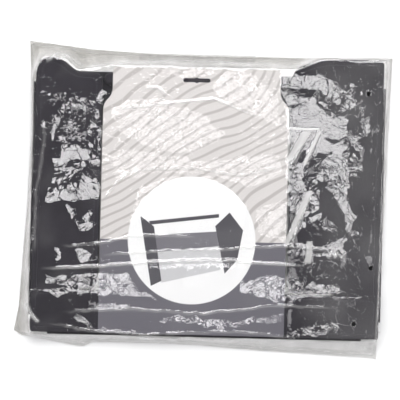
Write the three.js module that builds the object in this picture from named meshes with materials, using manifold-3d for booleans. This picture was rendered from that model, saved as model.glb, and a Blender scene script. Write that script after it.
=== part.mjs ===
// A children's travel tray for a stroller, folded flat behind its insert card in a clear bag.
// Units are millimetres. X runs to the right, Y away from the front wall, and Z up out of the pack's front.
// The origin is on the underside of the bag's back film, below the middle of the tray.
import * as THREE from "three";
import { mergeVertices } from "three/addons/utils/BufferGeometryUtils.js";
import Module from "manifold-3d";

const wasm = await Module();
wasm.setup();

// Driving dimensions of the whole tray
const trayWidth = 400;
const trayDepth = 300;
const trayCornerRadius = 12;
const seatGap = 0.3;
const cutOverrun = 2;
const fabricThickness = 1;
const weldDistance = 1e-4;

// Layers of the base
const boardThickness = 3;
const baseFoamThickness = 5;
const bindingThickness = 1.2;
const bindingHeight = 6.8;
const bindingLipWidth = 9;
const hingeTapeWidth = 6.6;
const hingeTapeEndInset = 12;

// Writing pocket on the base
const writingSideMargin = 53;
const writingFrontMargin = 44;
const writingRearMargin = 62;
const writingThickness = 1.2;
const writingOverlap = 4;
const pocketFilmThickness = 0.3;
const pocketFrameWidth = 12;
const pocketFrameThickness = 1;
const pocketCornerRadius = 6;

// Folded walls
const leftWingHeight = 76.5;
const rightWingHeight = 105.5;
const frontWallHeight = 49.2;
const wallCornerRadius = 12;
const stiffenerThickness = 1.5;
const wingFoamThickness = 1.4;
const frontFoamThickness = 2.5;
const wallSoftEdge = 1.6;
const hingeInset = 0.4;
const mitreGap = 0.6;
const rearInset = 1;

// Rounded ears of the wings, past the rear edge of the base
const leftEarLength = 15.5;
const leftEarWidth = 46;
const leftEarRadius = 11;
const leftEarInset = 6;
const leftEarFootWidth = 18;
const rightEarLength = 20;
const rightEarWidth = 70;
const rightEarShoulderDrop = 13;
const rightEarRadius = 30;

// Net pockets inside the wings
const netThickness = 0.8;
const netCordWidth = 1.5;
const netRimWidth = 5;
const netCellSize = 10.4;
const netHingeInset = 10;
const netFrontGap = 12;
const netBeltGap = 20;
const elasticWidth = 7;
const elasticInset = 1.6;

// Padded bumper along the rear edge
const bumperDepth = 14.2;
const bumperSideGap = 2.2;
const bumperSoftEdge = 3;
const bumperCornerRadius = 5;

// Belt webbing
const webbingWidth = 20;
const webbingThickness = 1.2;
const webbingSpacing = 0.3;
const beltInsetFromRear = 32;
const patchLength = 26;
const patchWidth = 25;
const patchThickness = 1.3;
const patchInset = 12;
const leftBundleLength = 52;
const rightBundleGap = 9.5;
const rightBundleSideGap = 9.7;
const beltTailLength = 14;
const bundleRuns = 5;
const bendSteps = 6;
const shortestStep = 0.03;

// Elastic keepers round the folded webbing
const keeperLength = 10;
const keeperThickness = 1;
const keeperClearance = 0.4;
const keeperEndInset = 3;

// Side release buckle, mouth of the housing at its own origin, width along Y
const housingLength = 28;
const housingMouthWidth = 29;
const housingEndWidth = 26;
const housingThickness = 10;
const housingWall = 1.8;
const housingSoftEdge = 1.2;
const cavityWidth = 24.6;
const housingEndWall = 4;
const windowEndGap = 2.8;
const windowLength = 10.6;
const housingDishRadius = 9;
const housingDishDepth = 0.8;
const slotClearance = 0.6;
const slotLength = 4.5;
const barLength = 4;
const barThickness = 4.4;
const tailCornerRadius = 3;
const frameThickness = 5;
const frameWidth = 25;
const frameBarLength = 3;
const ladderSlotLength = 3.8;
const ladderBarThickness = 3;
const frameBodyLength = 6.4;
const collarLength = 2.7;
const collarGap = 0.3;
const guideTipGap = 4;
const guideWidth = 3.6;
const guideTaper = 4;
const prongThickness = 4.8;
const prongRootGap = 0.2;
const prongRootInnerY = 7.4;
const prongArmWidth = 3.4;
const prongTipGap = 2.5;
const prongTipInnerY = 7.6;
const prongTipWidth = 2;
const latchGap = 0.4;
const barbReachY = 14.3;
const barbLength = 3.4;
const prongEdgeBevel = 0.5;

// Insert card
const cardThickness = 0.6;
const cardLeftGap = 1.4;
const cardRightGap = 2.4;
const cardShoulderInset = 10.3;
const cardRearReach = 5.7;
const cardShoulderDrop = 37;
const cardShoulderRadius = 9;
const cardCornerRadius = 3;
const hangSlotWidth = 31;
const hangSlotHeight = 4.6;
const hangSlotDrop = 13.5;
const hangSlotBumpRadius = 3.2;

// Bag
const filmThickness = 0.3;
const bagSideEase = 22;
const bagEndEase = 24;
const bagCentreX = -4;
const bagCentreY = 8;
const bagTurn = (-1.5 * Math.PI) / 180;
const bagWaist = 5;
const bagWaves = 2;
const bagWaveDepth = 2;
const bagEdgeSteps = 12;
const sameAngle = 2e-3;
const sameShare = 1e-9;
const contentsClearance = 0.9;
const filmShoulder = 5;
const ventDiameter = 4.6;
const ventInsets = [18.4, 11, 29];
const ventHeightShares = [0.938, 0.275, 0.06];
const tapeLength = 134;
const tapeWidth = 11;
const tapeThickness = 0.2;
const tapeInset = 2;

// Levels of the layers, from the surface up
const baseLevel = filmThickness + seatGap;
const boardLevel = baseLevel + fabricThickness + seatGap;
const baseFoamLevel = boardLevel + boardThickness + seatGap;
const topCoverLevel = baseFoamLevel + baseFoamThickness + seatGap;
const deckLevel = topCoverLevel + fabricThickness + seatGap;
const pocketFilmLevel = deckLevel + writingThickness + seatGap;
const pocketLipLevel = pocketFilmLevel + pocketFilmThickness + seatGap;
const pocketTop = pocketLipLevel + pocketFrameThickness;
const wallLevel = pocketTop + seatGap;
const wingLiningLevel = wallLevel + netThickness + seatGap;
const wingStiffenerLevel = wingLiningLevel + fabricThickness + seatGap;
const wingFoamLevel = wingStiffenerLevel + stiffenerThickness + seatGap;
const wingTop = wingFoamLevel + wingFoamThickness + seatGap + fabricThickness;
const frontStiffenerLevel = wallLevel + fabricThickness + seatGap;
const frontFoamLevel = frontStiffenerLevel + stiffenerThickness + seatGap;
const frontTop = wingTop + seatGap + fabricThickness;
const cardLevel = frontTop + seatGap;
const frontFilmLevel = cardLevel + cardThickness + seatGap;
const flangeLevel = filmThickness + seatGap;

// Places in the plan, shared by the pieces
const halfWidth = trayWidth / 2;
const halfDepth = trayDepth / 2;
const hingeEdge = halfWidth - 2 * hingeInset;
const frontHingeEdge = halfDepth - 2 * hingeInset;
const leftInnerX = -hingeEdge + leftWingHeight;
const rightInnerX = hingeEdge - rightWingHeight;
const wallFrontY = -frontHingeEdge + frontWallHeight;
const beltY = halfDepth - beltInsetFromRear;
const bagWidth = trayWidth + bagSideEase;
const bagHeight = trayDepth + rightEarLength + bagEndEase;
const buckleLevel = deckLevel + housingThickness / 2;
const webbingLevel = deckLevel + patchThickness + seatGap;
const webbingPitch = webbingThickness + webbingSpacing;
const netPitch = netCellSize + netCordWidth;
const cavityDepth = housingLength - housingEndWall;
const windowEnd = cavityDepth - windowEndGap;
const windowStart = windowEnd - windowLength;
const latchStart = windowStart + latchGap;
const guideLength = cavityDepth - guideTipGap;
const prongReach = cavityDepth - prongTipGap;
const rightBundleStart = housingLength + slotLength + barLength + rightBundleGap;
const cardLeft = leftInnerX + cardLeftGap;
const cardRight = rightInnerX - cardRightGap;
const cardCentreX = (cardLeft + cardRight) / 2;
const cardTopWidth = cardRight - cardLeft - 2 * cardShoulderInset;

const finishes = {
  fabric: { color: 0x3c3a3f, roughness: 0.85, metalness: 0 },
  lining: { color: 0x343238, roughness: 0.9, metalness: 0 },
  binding: { color: 0x2a292c, roughness: 0.8, metalness: 0 },
  foam: { color: 0x9c9ca2, roughness: 1, metalness: 0 },
  board: { color: 0xd8d8d4, roughness: 0.6, metalness: 0 },
  writing: { color: 0xf2f2f0, roughness: 0.35, metalness: 0 },
  clear: { color: 0xdfe4ea, roughness: 0.12, metalness: 0, transparent: true, opacity: 0.3 },
  plastic: { color: 0x1c1c1e, roughness: 0.4, metalness: 0 },
  webbing: { color: 0x242427, roughness: 0.8, metalness: 0 },
  card: { color: 0xe4e2e0, roughness: 0.45, metalness: 0 },
  film: { color: 0xdcdce0, roughness: 0.15, metalness: 0, transparent: true, opacity: 0.3 },
};

const tray = new THREE.Group();

// Adds one named piece to a group, with the finish of its kind.
function addPiece(name, shape, finish, group = tray) {
  const geometry = shape.isBufferGeometry ? shape : toGeometry(shape);
  const piece = new THREE.Mesh(geometry, new THREE.MeshStandardMaterial(finishes[finish]));
  piece.name = name;
  group.add(piece);
  return piece;
}

// Turns closed geometry into a solid that can be cut and joined.
function toSolid(geometry) {
  const bare = geometry.clone();
  bare.deleteAttribute("normal");
  bare.deleteAttribute("uv");
  const merged = mergeVertices(bare, weldDistance);
  return new wasm.Manifold(
    new wasm.Mesh({
      numProp: 3,
      vertProperties: merged.attributes.position.array,
      triVerts: new Uint32Array(merged.index.array),
    }),
  );
}

// Turns a solid back into geometry with flat faces.
function toGeometry(solid) {
  const mesh = solid.getMesh();
  const geometry = new THREE.BufferGeometry();
  geometry.setAttribute("position", new THREE.BufferAttribute(new Float32Array(mesh.vertProperties), 3));
  geometry.setIndex(new THREE.BufferAttribute(new Uint32Array(mesh.triVerts), 1));
  const flat = geometry.toNonIndexed();
  flat.computeVertexNormals();
  return flat;
}

// Corner of an outline: its place and the radius that rounds it.
const corner = (x, y, radius = 0) => ({ x, y, radius });

// Four corners of a rectangle, in order.
function rectangle(left, right, low, high, radius = 0) {
  return [
    corner(left, low, radius),
    corner(right, low, radius),
    corner(right, high, radius),
    corner(left, high, radius),
  ];
}

// Moves every edge of an outline inwards by a distance.
function insetOutline(corners, distance) {
  const count = corners.length;
  return corners.map((here, i) => {
    const before = corners[(i + count - 1) % count];
    const after = corners[(i + 1) % count];
    const inLength = Math.hypot(here.x - before.x, here.y - before.y);
    const outLength = Math.hypot(after.x - here.x, after.y - here.y);
    const inX = (here.x - before.x) / inLength;
    const inY = (here.y - before.y) / inLength;
    const outX = (after.x - here.x) / outLength;
    const outY = (after.y - here.y) / outLength;
    const turn = 1 + inX * outX + inY * outY;
    const moveX = (-(inY + outY) * distance) / turn;
    const moveY = ((inX + outX) * distance) / turn;
    return corner(here.x + moveX, here.y + moveY, Math.max(here.radius - distance, 0));
  });
}

// Draws an outline as a shape whose corners are rounded.
function shapeOf(corners) {
  const shape = new THREE.Shape();
  const count = corners.length;
  corners.forEach((here, i) => {
    const before = corners[(i + count - 1) % count];
    const after = corners[(i + 1) % count];
    const inLength = Math.hypot(here.x - before.x, here.y - before.y);
    const outLength = Math.hypot(after.x - here.x, after.y - here.y);
    const cut = Math.min(here.radius, 0.49 * inLength, 0.49 * outLength);
    const startX = here.x + ((before.x - here.x) * cut) / inLength;
    const startY = here.y + ((before.y - here.y) * cut) / inLength;
    const endX = here.x + ((after.x - here.x) * cut) / outLength;
    const endY = here.y + ((after.y - here.y) * cut) / outLength;
    if (i === 0) shape.moveTo(startX, startY);
    else shape.lineTo(startX, startY);
    if (cut > 0) shape.quadraticCurveTo(here.x, here.y, endX, endY);
  });
  shape.closePath();
  return shape;
}

// Flat plate of an outline between two levels.
function plate(corners, low, high, curveSegments = 5) {
  const geometry = new THREE.ExtrudeGeometry(shapeOf(corners), {
    depth: high - low,
    bevelEnabled: false,
    curveSegments,
  });
  geometry.translate(0, 0, low);
  return toSolid(geometry);
}

// Plate whose upper and lower edges are rounded by a soft edge. A corner tighter than that edge stays sharp.
function softPlate(corners, low, high, softEdge) {
  const clean = corners.map((c) => corner(c.x, c.y, c.radius > 1.5 * softEdge ? c.radius : 0));
  const geometry = new THREE.ExtrudeGeometry(shapeOf(clean), {
    depth: high - low - 2 * softEdge,
    bevelEnabled: true,
    bevelThickness: softEdge,
    bevelSize: softEdge,
    bevelOffset: -softEdge,
    bevelSegments: 2,
    curveSegments: 5,
  });
  geometry.translate(0, 0, low + softEdge);
  return toSolid(geometry);
}

// Upside-down tray: rounded upper edge, walls of one thickness, open below.
function coverShell(corners, low, high, wall, softEdge) {
  const outer = softPlate(corners, low - softEdge, high, softEdge);
  const below = plate(insetOutline(corners, -cutOverrun), low - softEdge - cutOverrun, low);
  const inside = plate(insetOutline(corners, wall), low - cutOverrun, high - wall);
  return outer.subtract(below).subtract(inside);
}

// Ring between an outline and the same outline moved inwards.
function ring(corners, width, low, high) {
  const inside = plate(insetOutline(corners, width), low - cutOverrun, high + cutOverrun);
  return plate(corners, low, high).subtract(inside);
}

// Box between two corners.
function box(lowX, highX, lowY, highY, lowZ, highZ) {
  return plate(rectangle(lowX, highX, lowY, highY), lowZ, highZ);
}

// Base of the tray: covers, board, foam and the bound edge
function buildBase() {
  const outline = rectangle(-halfWidth, halfWidth, -halfDepth, halfDepth, trayCornerRadius);
  const core = insetOutline(outline, bindingThickness + seatGap);
  const inner = insetOutline(core, fabricThickness + seatGap);
  const wallTop = topCoverLevel - seatGap;
  const bottomShell = plate(core, baseLevel, wallTop).subtract(
    plate(insetOutline(core, fabricThickness), baseLevel + fabricThickness, wallTop + cutOverrun),
  );
  addPiece("base_bottom_cover", bottomShell, "fabric");
  addPiece("base_board", plate(inner, boardLevel, boardLevel + boardThickness), "board");
  addPiece("base_foam", plate(inner, baseFoamLevel, baseFoamLevel + baseFoamThickness), "foam");
  addPiece("base_top_cover", plate(core, topCoverLevel, topCoverLevel + fabricThickness), "fabric");
  const lipTop = deckLevel + fabricThickness;
  const binding = ring(outline, bindingThickness, lipTop - bindingHeight, lipTop).add(
    ring(outline, bindingLipWidth, deckLevel, lipTop),
  );
  addPiece("base_edge_binding", binding, "binding");
  buildHingeTapes(lipTop + seatGap);
}

// Tapes that carry the three folding walls along the edge of the base
function buildHingeTapes(low) {
  const high = wallLevel - seatGap;
  const inX = hingeEdge - hingeTapeWidth;
  const inY = frontHingeEdge - hingeTapeWidth;
  const sideLow = -inY + hingeTapeEndInset;
  const sideHigh = halfDepth - hingeTapeEndInset;
  addPiece("left_hinge_tape", box(-hingeEdge, -inX, sideLow, sideHigh, low, high), "binding");
  addPiece("right_hinge_tape", box(inX, hingeEdge, sideLow, sideHigh, low, high), "binding");
  const reach = inX - hingeTapeEndInset;
  addPiece("front_hinge_tape", box(-reach, reach, -frontHingeEdge, -inY, low, high), "binding");
}

// Writing surface under its clear film, held by a bound frame
function buildWritingPocket() {
  const opening = rectangle(
    -halfWidth + writingSideMargin,
    halfWidth - writingSideMargin,
    -halfDepth + writingFrontMargin,
    halfDepth - writingRearMargin,
    pocketCornerRadius,
  );
  const sheet = insetOutline(opening, -writingOverlap);
  const rebate = insetOutline(sheet, -seatGap);
  const outline = insetOutline(opening, -pocketFrameWidth);
  addPiece("writing_surface", plate(sheet, deckLevel, deckLevel + writingThickness), "writing");
  const film = plate(sheet, pocketFilmLevel, pocketFilmLevel + pocketFilmThickness);
  addPiece("clear_pocket_film", film, "clear");
  const frame = plate(outline, deckLevel, pocketTop)
    .subtract(plate(opening, deckLevel - cutOverrun, pocketTop + cutOverrun))
    .subtract(plate(rebate, deckLevel - cutOverrun, pocketLipLevel));
  addPiece("pocket_frame", frame, "binding");
}

// Outline of the left wing as it lies folded over the base
function leftWingOutline() {
  const mitre = hingeEdge - frontHingeEdge + mitreGap;
  const frontY = wallFrontY + seatGap + mitreGap;
  const rearY = halfDepth - rearInset;
  const earTop = halfDepth + leftEarLength;
  const earLeft = -hingeEdge + leftEarInset;
  const earRight = -hingeEdge + leftEarWidth;
  return [
    corner(-hingeEdge, mitre - hingeEdge),
    corner(frontY - mitre, frontY),
    corner(leftInnerX, frontY, wallCornerRadius),
    corner(leftInnerX, rearY, wallCornerRadius),
    corner(earRight, rearY, leftEarRadius),
    corner(earRight - leftEarFootWidth, earTop, leftEarRadius),
    corner(earLeft, earTop, leftEarRadius),
    corner(-hingeEdge, rearY, leftEarInset),
  ];
}

// Outline of the right wing, with its tall rounded peak
function rightWingOutline() {
  const mitre = hingeEdge - frontHingeEdge + mitreGap;
  const frontY = wallFrontY + seatGap + mitreGap;
  const earTop = halfDepth + rightEarLength;
  return [
    corner(hingeEdge, mitre - hingeEdge),
    corner(hingeEdge, earTop, leftEarInset),
    corner(hingeEdge - rightEarWidth, earTop, rightEarRadius),
    corner(rightInnerX, earTop - rightEarShoulderDrop, wallCornerRadius),
    corner(rightInnerX, frontY, wallCornerRadius),
    corner(mitre - frontY, frontY),
  ];
}

// One wing: cover, foam, stiffener, lining, and the net pocket on its inner side
function buildWing(side, outline, innerX) {
  const inner = insetOutline(outline, fabricThickness + seatGap);
  const lining = plate(outline, wingLiningLevel, wingLiningLevel + fabricThickness);
  addPiece(`${side}_wing_lining`, lining, "lining");
  const stiffener = plate(inner, wingStiffenerLevel, wingStiffenerLevel + stiffenerThickness);
  addPiece(`${side}_wing_stiffener`, stiffener, "board");
  addPiece(`${side}_wing_foam`, plate(inner, wingFoamLevel, wingFoamLevel + wingFoamThickness), "foam");
  const cover = coverShell(outline, wingStiffenerLevel, wingTop, fabricThickness, wallSoftEdge);
  addPiece(`${side}_wing_cover`, cover, "fabric");
  buildNet(side, innerX);
}

// Places of the grid lines across a net: rim, then meshes with a cord between each two, then rim.
function netLines(start, meshes, meshSize) {
  const lines = [start, start + netRimWidth];
  for (let i = 0; i < meshes; i += 1) {
    lines.push(lines[lines.length - 1] + meshSize);
    lines.push(lines[lines.length - 1] + (i < meshes - 1 ? netCordWidth : netRimWidth));
  }
  return lines;
}

// Slab on a grid of lines, open in every cell whose two counts are odd and lie between the rims.
function openGrid(linesX, linesY, low, high) {
  const positions = [];
  const lastX = linesX.length - 1;
  const lastY = linesY.length - 1;
  const isOpen = (i, j) => i < 0 || j < 0 || i >= lastX || j >= lastY || (i % 2 === 1 && j % 2 === 1);
  const quad = (a, b, c, d) => positions.push(...a, ...b, ...c, ...a, ...c, ...d);
  for (let i = 0; i < lastX; i += 1) {
    for (let j = 0; j < lastY; j += 1) {
      if (isOpen(i, j)) continue;
      const [x0, x1] = [linesX[i], linesX[i + 1]];
      const [y0, y1] = [linesY[j], linesY[j + 1]];
      quad([x0, y0, high], [x1, y0, high], [x1, y1, high], [x0, y1, high]);
      quad([x0, y0, low], [x0, y1, low], [x1, y1, low], [x1, y0, low]);
      if (isOpen(i, j - 1)) quad([x0, y0, low], [x1, y0, low], [x1, y0, high], [x0, y0, high]);
      if (isOpen(i, j + 1)) quad([x1, y1, low], [x0, y1, low], [x0, y1, high], [x1, y1, high]);
      if (isOpen(i - 1, j)) quad([x0, y1, low], [x0, y0, low], [x0, y0, high], [x0, y1, high]);
      if (isOpen(i + 1, j)) quad([x1, y0, low], [x1, y1, low], [x1, y1, high], [x1, y0, high]);
    }
  }
  const geometry = new THREE.BufferGeometry();
  geometry.setAttribute("position", new THREE.Float32BufferAttribute(positions, 3));
  return toSolid(geometry);
}

// Number of meshes that fit a length of net between its rims, close to the size of one cell.
const meshCount = (length) => Math.max(1, Math.round((length - 2 * netRimWidth) / netPitch));

// Size of one mesh when that many meshes share a length of net.
const meshSize = (length, count) => (length - 2 * netRimWidth + netCordWidth) / count - netCordWidth;

// Flat net pocket with square meshes, and an elastic along its open side towards the middle of the tray
function buildNet(side, innerX) {
  const low = wallLevel;
  const high = wallLevel + netThickness;
  const away = Math.sign(innerX);
  const open = innerX + away * (elasticInset + elasticWidth + seatGap);
  const hinged = away * (hingeEdge - netHingeInset);
  const left = Math.min(open, hinged);
  const width = Math.abs(hinged - open);
  const front = wallFrontY + netFrontGap;
  const rear = beltY - webbingWidth / 2 - netBeltGap;
  const rows = meshCount(width);
  const columns = meshCount(rear - front);
  const linesX = netLines(left, rows, meshSize(width, rows));
  const linesY = netLines(front, columns, meshSize(rear - front, columns));
  addPiece(`${side}_net_pocket`, openGrid(linesX, linesY, low, high), "lining");
  const near = innerX + away * elasticInset;
  const far = near + away * elasticWidth;
  const elastic = box(Math.min(near, far), Math.max(near, far), front, rear, low, high);
  addPiece(`${side}_pocket_elastic`, elastic, "binding");
}

// Both wings, each with a net on its inner side
function buildWings() {
  buildWing("left", leftWingOutline(), leftInnerX);
  buildWing("right", rightWingOutline(), rightInnerX);
}

// Front wall: mitred at both ends, with thin cover corners that lie over the wings
function buildFrontWall() {
  const edge = -frontHingeEdge;
  const reach = hingeEdge - mitreGap;
  const outline = [
    corner(-reach, edge),
    corner(reach, edge),
    corner(reach - frontWallHeight, wallFrontY),
    corner(frontWallHeight - reach, wallFrontY),
  ];
  const inner = insetOutline(outline, fabricThickness + seatGap);
  const foamTop = frontFoamLevel + frontFoamThickness;
  addPiece("front_wall_lining", plate(outline, wallLevel, wallLevel + fabricThickness), "lining");
  const stiffener = plate(inner, frontStiffenerLevel, frontStiffenerLevel + stiffenerThickness);
  addPiece("front_wall_stiffener", stiffener, "board");
  addPiece("front_wall_foam", plate(inner, frontFoamLevel, foamTop), "foam");
  const ears = [
    corner(-hingeEdge, edge, trayCornerRadius / 2),
    corner(hingeEdge, edge, trayCornerRadius / 2),
    corner(hingeEdge, wallFrontY, wallCornerRadius),
    corner(-hingeEdge, wallFrontY, wallCornerRadius),
  ];
  const skinLevel = frontTop - fabricThickness;
  const inside = plate(insetOutline(outline, fabricThickness), frontStiffenerLevel - cutOverrun, skinLevel);
  const body = plate(outline, frontStiffenerLevel, frontTop).subtract(inside);
  addPiece("front_wall_cover", body.add(plate(ears, skinLevel, frontTop)), "fabric");
}

// Padded bumper along the rear edge, between the folded wings
function buildBumper() {
  const outline = rectangle(
    leftInnerX + bumperSideGap,
    rightInnerX - bumperSideGap,
    halfDepth - rearInset - bumperDepth,
    halfDepth - rearInset,
    bumperCornerRadius,
  );
  const inner = insetOutline(outline, fabricThickness + seatGap);
  const low = deckLevel + fabricThickness + seatGap;
  const cover = coverShell(outline, low, frontTop, fabricThickness, bumperSoftEdge);
  addPiece("belly_bumper_cover", cover, "fabric");
  const foamTop = frontTop - fabricThickness - seatGap - bumperSoftEdge;
  addPiece("belly_bumper_foam", plate(inner, low, foamTop), "foam");
}

// Rounds the inner points of a path with short arcs and returns all its points.
function roundPath(points, radius) {
  const path = [];
  points.forEach(([x, z], i) => {
    if (i === 0 || i === points.length - 1) {
      path.push([x, z]);
      return;
    }
    const [beforeX, beforeZ] = points[i - 1];
    const [afterX, afterZ] = points[i + 1];
    const inLength = Math.hypot(x - beforeX, z - beforeZ);
    const outLength = Math.hypot(afterX - x, afterZ - z);
    const cut = Math.min(radius, inLength / 2, outLength / 2);
    const start = [x + ((beforeX - x) * cut) / inLength, z + ((beforeZ - z) * cut) / inLength];
    const end = [x + ((afterX - x) * cut) / outLength, z + ((afterZ - z) * cut) / outLength];
    for (let k = 0; k <= bendSteps; k += 1) {
      const t = k / bendSteps;
      const a = (1 - t) * (1 - t);
      const b = 2 * t * (1 - t);
      const c = t * t;
      path.push([a * start[0] + b * x + c * end[0], a * start[1] + b * z + c * end[1]]);
    }
  });
  const isFar = (x, z, last) => Math.hypot(x - last[0], z - last[1]) > shortestStep;
  return path.filter(([x, z], i) => i === 0 || isFar(x, z, path[i - 1]));
}

// Flat strap that follows a path in the XZ plane, as wide as the webbing.
function strap(points, radius, thickness, width) {
  const path = roundPath(points, radius);
  const left = [];
  const right = [];
  path.forEach(([x, z], i) => {
    const [beforeX, beforeZ] = path[Math.max(i - 1, 0)];
    const [afterX, afterZ] = path[Math.min(i + 1, path.length - 1)];
    const inLength = Math.hypot(x - beforeX, z - beforeZ) || 1;
    const outLength = Math.hypot(afterX - x, afterZ - z) || 1;
    const alongX = (x - beforeX) / inLength + (afterX - x) / outLength;
    const alongZ = (z - beforeZ) / inLength + (afterZ - z) / outLength;
    const length = Math.hypot(alongX, alongZ);
    const isEnd = i === 0 || i === path.length - 1;
    const stretch = isEnd ? 1 : 2 / length;
    const offsetX = ((-alongZ / length) * stretch * thickness) / 2;
    const offsetZ = ((alongX / length) * stretch * thickness) / 2;
    left.push(new THREE.Vector2(x + offsetX, z + offsetZ));
    right.push(new THREE.Vector2(x - offsetX, z - offsetZ));
  });
  const shape = new THREE.Shape([...right, ...left.reverse()]);
  const geometry = new THREE.ExtrudeGeometry(shape, { depth: width, bevelEnabled: false });
  geometry.rotateX(Math.PI / 2);
  geometry.translate(0, width / 2, 0);
  return toSolid(geometry);
}

// Zigzag of a folded bundle: runs of webbing, one above the other.
function bundlePoints(enterX, farX, level) {
  const points = [];
  for (let run = 0; run < bundleRuns; run += 1) {
    const z = level + run * webbingPitch;
    const startX = run % 2 === 0 ? enterX : farX;
    const endX = run % 2 === 0 ? farX : enterX;
    if (run > 0) points.push([startX, z]);
    if (run < bundleRuns - 1) points.push([endX, z]);
  }
  return points;
}

// Belt: two sewn patches, two folded straps and their elastic keepers
function buildBelt() {
  const patchOuter = halfWidth - patchInset;
  const patchInner = patchOuter - patchLength;
  const patchLow = beltY - patchWidth / 2;
  const patchHigh = beltY + patchWidth / 2;
  const patchTop = deckLevel + patchThickness;
  const leftPatch = box(-patchOuter, -patchInner, patchLow, patchHigh, deckLevel, patchTop);
  const rightPatch = box(patchInner, patchOuter, patchLow, patchHigh, deckLevel, patchTop);
  addPiece("left_belt_patch", leftPatch, "binding");
  addPiece("right_belt_patch", rightPatch, "binding");

  const run = webbingLevel + webbingThickness / 2;
  const bundleTop = run + (bundleRuns - 1) * webbingPitch;
  const ladder = ladderPlaces();
  const half = ladderBarThickness / 2;
  const over = buckleLevel + frameThickness / 2 + seatGap + webbingThickness / 2;
  const load = over + webbingPitch;
  const under = buckleLevel - half - seatGap - webbingThickness / 2;
  const leftEnter = leftInnerX + webbingThickness + bumperSideGap + keeperClearance;
  const leftFar = leftEnter + leftBundleLength;
  const leftPoints = [
    [-patchOuter, run],
    ...bundlePoints(leftEnter, leftFar, run),
    [leftFar, bundleTop],
    [leftFar + beltTailLength, load],
    [ladder.innerSlot, load],
    [ladder.innerSlot, under],
    [ladder.outerSlot, under],
    [ladder.outerSlot, over],
    [ladder.outerSlot - beltTailLength, over],
  ];
  const leftStrap = strap(leftPoints, webbingPitch, webbingThickness, webbingWidth);
  addPiece("left_webbing", leftStrap, "webbing").position.y = beltY;

  const barMiddle = housingLength + slotLength + barLength / 2;
  const loopX = barMiddle - barLength / 2 - seatGap - webbingThickness / 2;
  const loopHigh = buckleLevel + barThickness / 2 + seatGap + webbingThickness / 2;
  const loopLow = buckleLevel - barThickness / 2 - seatGap - webbingThickness / 2;
  const rightFar = rightInnerX - rightBundleSideGap;
  const rightPoints = [
    [patchOuter, run],
    ...bundlePoints(rightFar, rightBundleStart, run),
    [rightBundleStart, bundleTop],
    [barMiddle + barLength, loopHigh],
    [loopX, loopHigh],
    [loopX, loopLow],
    [rightBundleStart - webbingPitch, loopLow],
  ];
  const rightStrap = strap(rightPoints, webbingPitch, webbingThickness, webbingWidth);
  addPiece("right_webbing", rightStrap, "webbing").position.y = beltY;

  buildKeeper("left_strap_keeper", leftEnter + keeperEndInset);
  buildKeeper("right_strap_keeper", rightBundleStart + keeperEndInset);
}

// Elastic band round one bundle of webbing.
function buildKeeper(name, startX) {
  const half = webbingWidth / 2 + keeperClearance;
  const low = webbingLevel - seatGap;
  const high = webbingLevel + (bundleRuns - 1) * webbingPitch + webbingThickness + seatGap;
  const wall = keeperThickness;
  const outer = box(startX, startX + keeperLength, -half - wall, half + wall, low - wall, high + wall);
  const inner = box(startX - cutOverrun, startX + keeperLength + cutOverrun, -half, half, low, high);
  addPiece(name, outer.subtract(inner), "webbing").position.y = beltY;
}

// Places along X of the two webbing slots in the buckle's frame, and its ends
function ladderPlaces() {
  const bodyEnd = -collarGap - frameBodyLength;
  const innerSlot = bodyEnd - ladderSlotLength / 2;
  const middleBar = bodyEnd - ladderSlotLength - frameBarLength / 2;
  const outerSlot = middleBar - frameBarLength / 2 - ladderSlotLength / 2;
  const tailEnd = outerSlot - ladderSlotLength / 2 - frameBarLength;
  return { bodyEnd, innerSlot, middleBar, outerSlot, tailEnd };
}

// Housing of the buckle: hollow, with side windows for the barbs and a bar for the strap
function buildHousing(group) {
  const half = housingThickness / 2;
  const barEnd = housingLength + slotLength + barLength;
  const body = softPlate(
    [
      corner(0, -housingMouthWidth / 2, housingSoftEdge),
      corner(housingLength, -housingEndWidth / 2, tailCornerRadius),
      corner(housingLength, housingEndWidth / 2, tailCornerRadius),
      corner(0, housingMouthWidth / 2, housingSoftEdge),
    ],
    -half,
    half,
    housingSoftEdge,
  );
  const tail = plate(
    rectangle(cavityDepth, barEnd, -housingEndWidth / 2, housingEndWidth / 2, tailCornerRadius),
    -barThickness / 2,
    barThickness / 2,
  );
  const cavityHalf = half - housingWall;
  const cavitySide = cavityWidth / 2;
  const cavity = box(-cutOverrun, cavityDepth, -cavitySide, cavitySide, -cavityHalf, cavityHalf);
  const slotHalf = webbingWidth / 2 + slotClearance;
  const strapSlot = box(housingLength, housingLength + slotLength, -slotHalf, slotHalf, -half, half);
  const windows = box(
    windowStart,
    windowEnd,
    -housingMouthWidth / 2 - cutOverrun,
    housingMouthWidth / 2 + cutOverrun,
    -cavityHalf,
    cavityHalf,
  );
  const dish = new THREE.SphereGeometry(housingDishRadius, 16, 8);
  dish.scale(1, 1, (2 * housingDishDepth) / housingDishRadius);
  dish.translate((windowStart + windowEnd) / 2, 0, half + housingDishDepth);
  const hollow = body.add(tail).subtract(cavity).subtract(windows);
  const housing = hollow.subtract(strapSlot).subtract(toSolid(dish));
  addPiece("buckle_housing", housing, "plastic", group);
}

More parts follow.
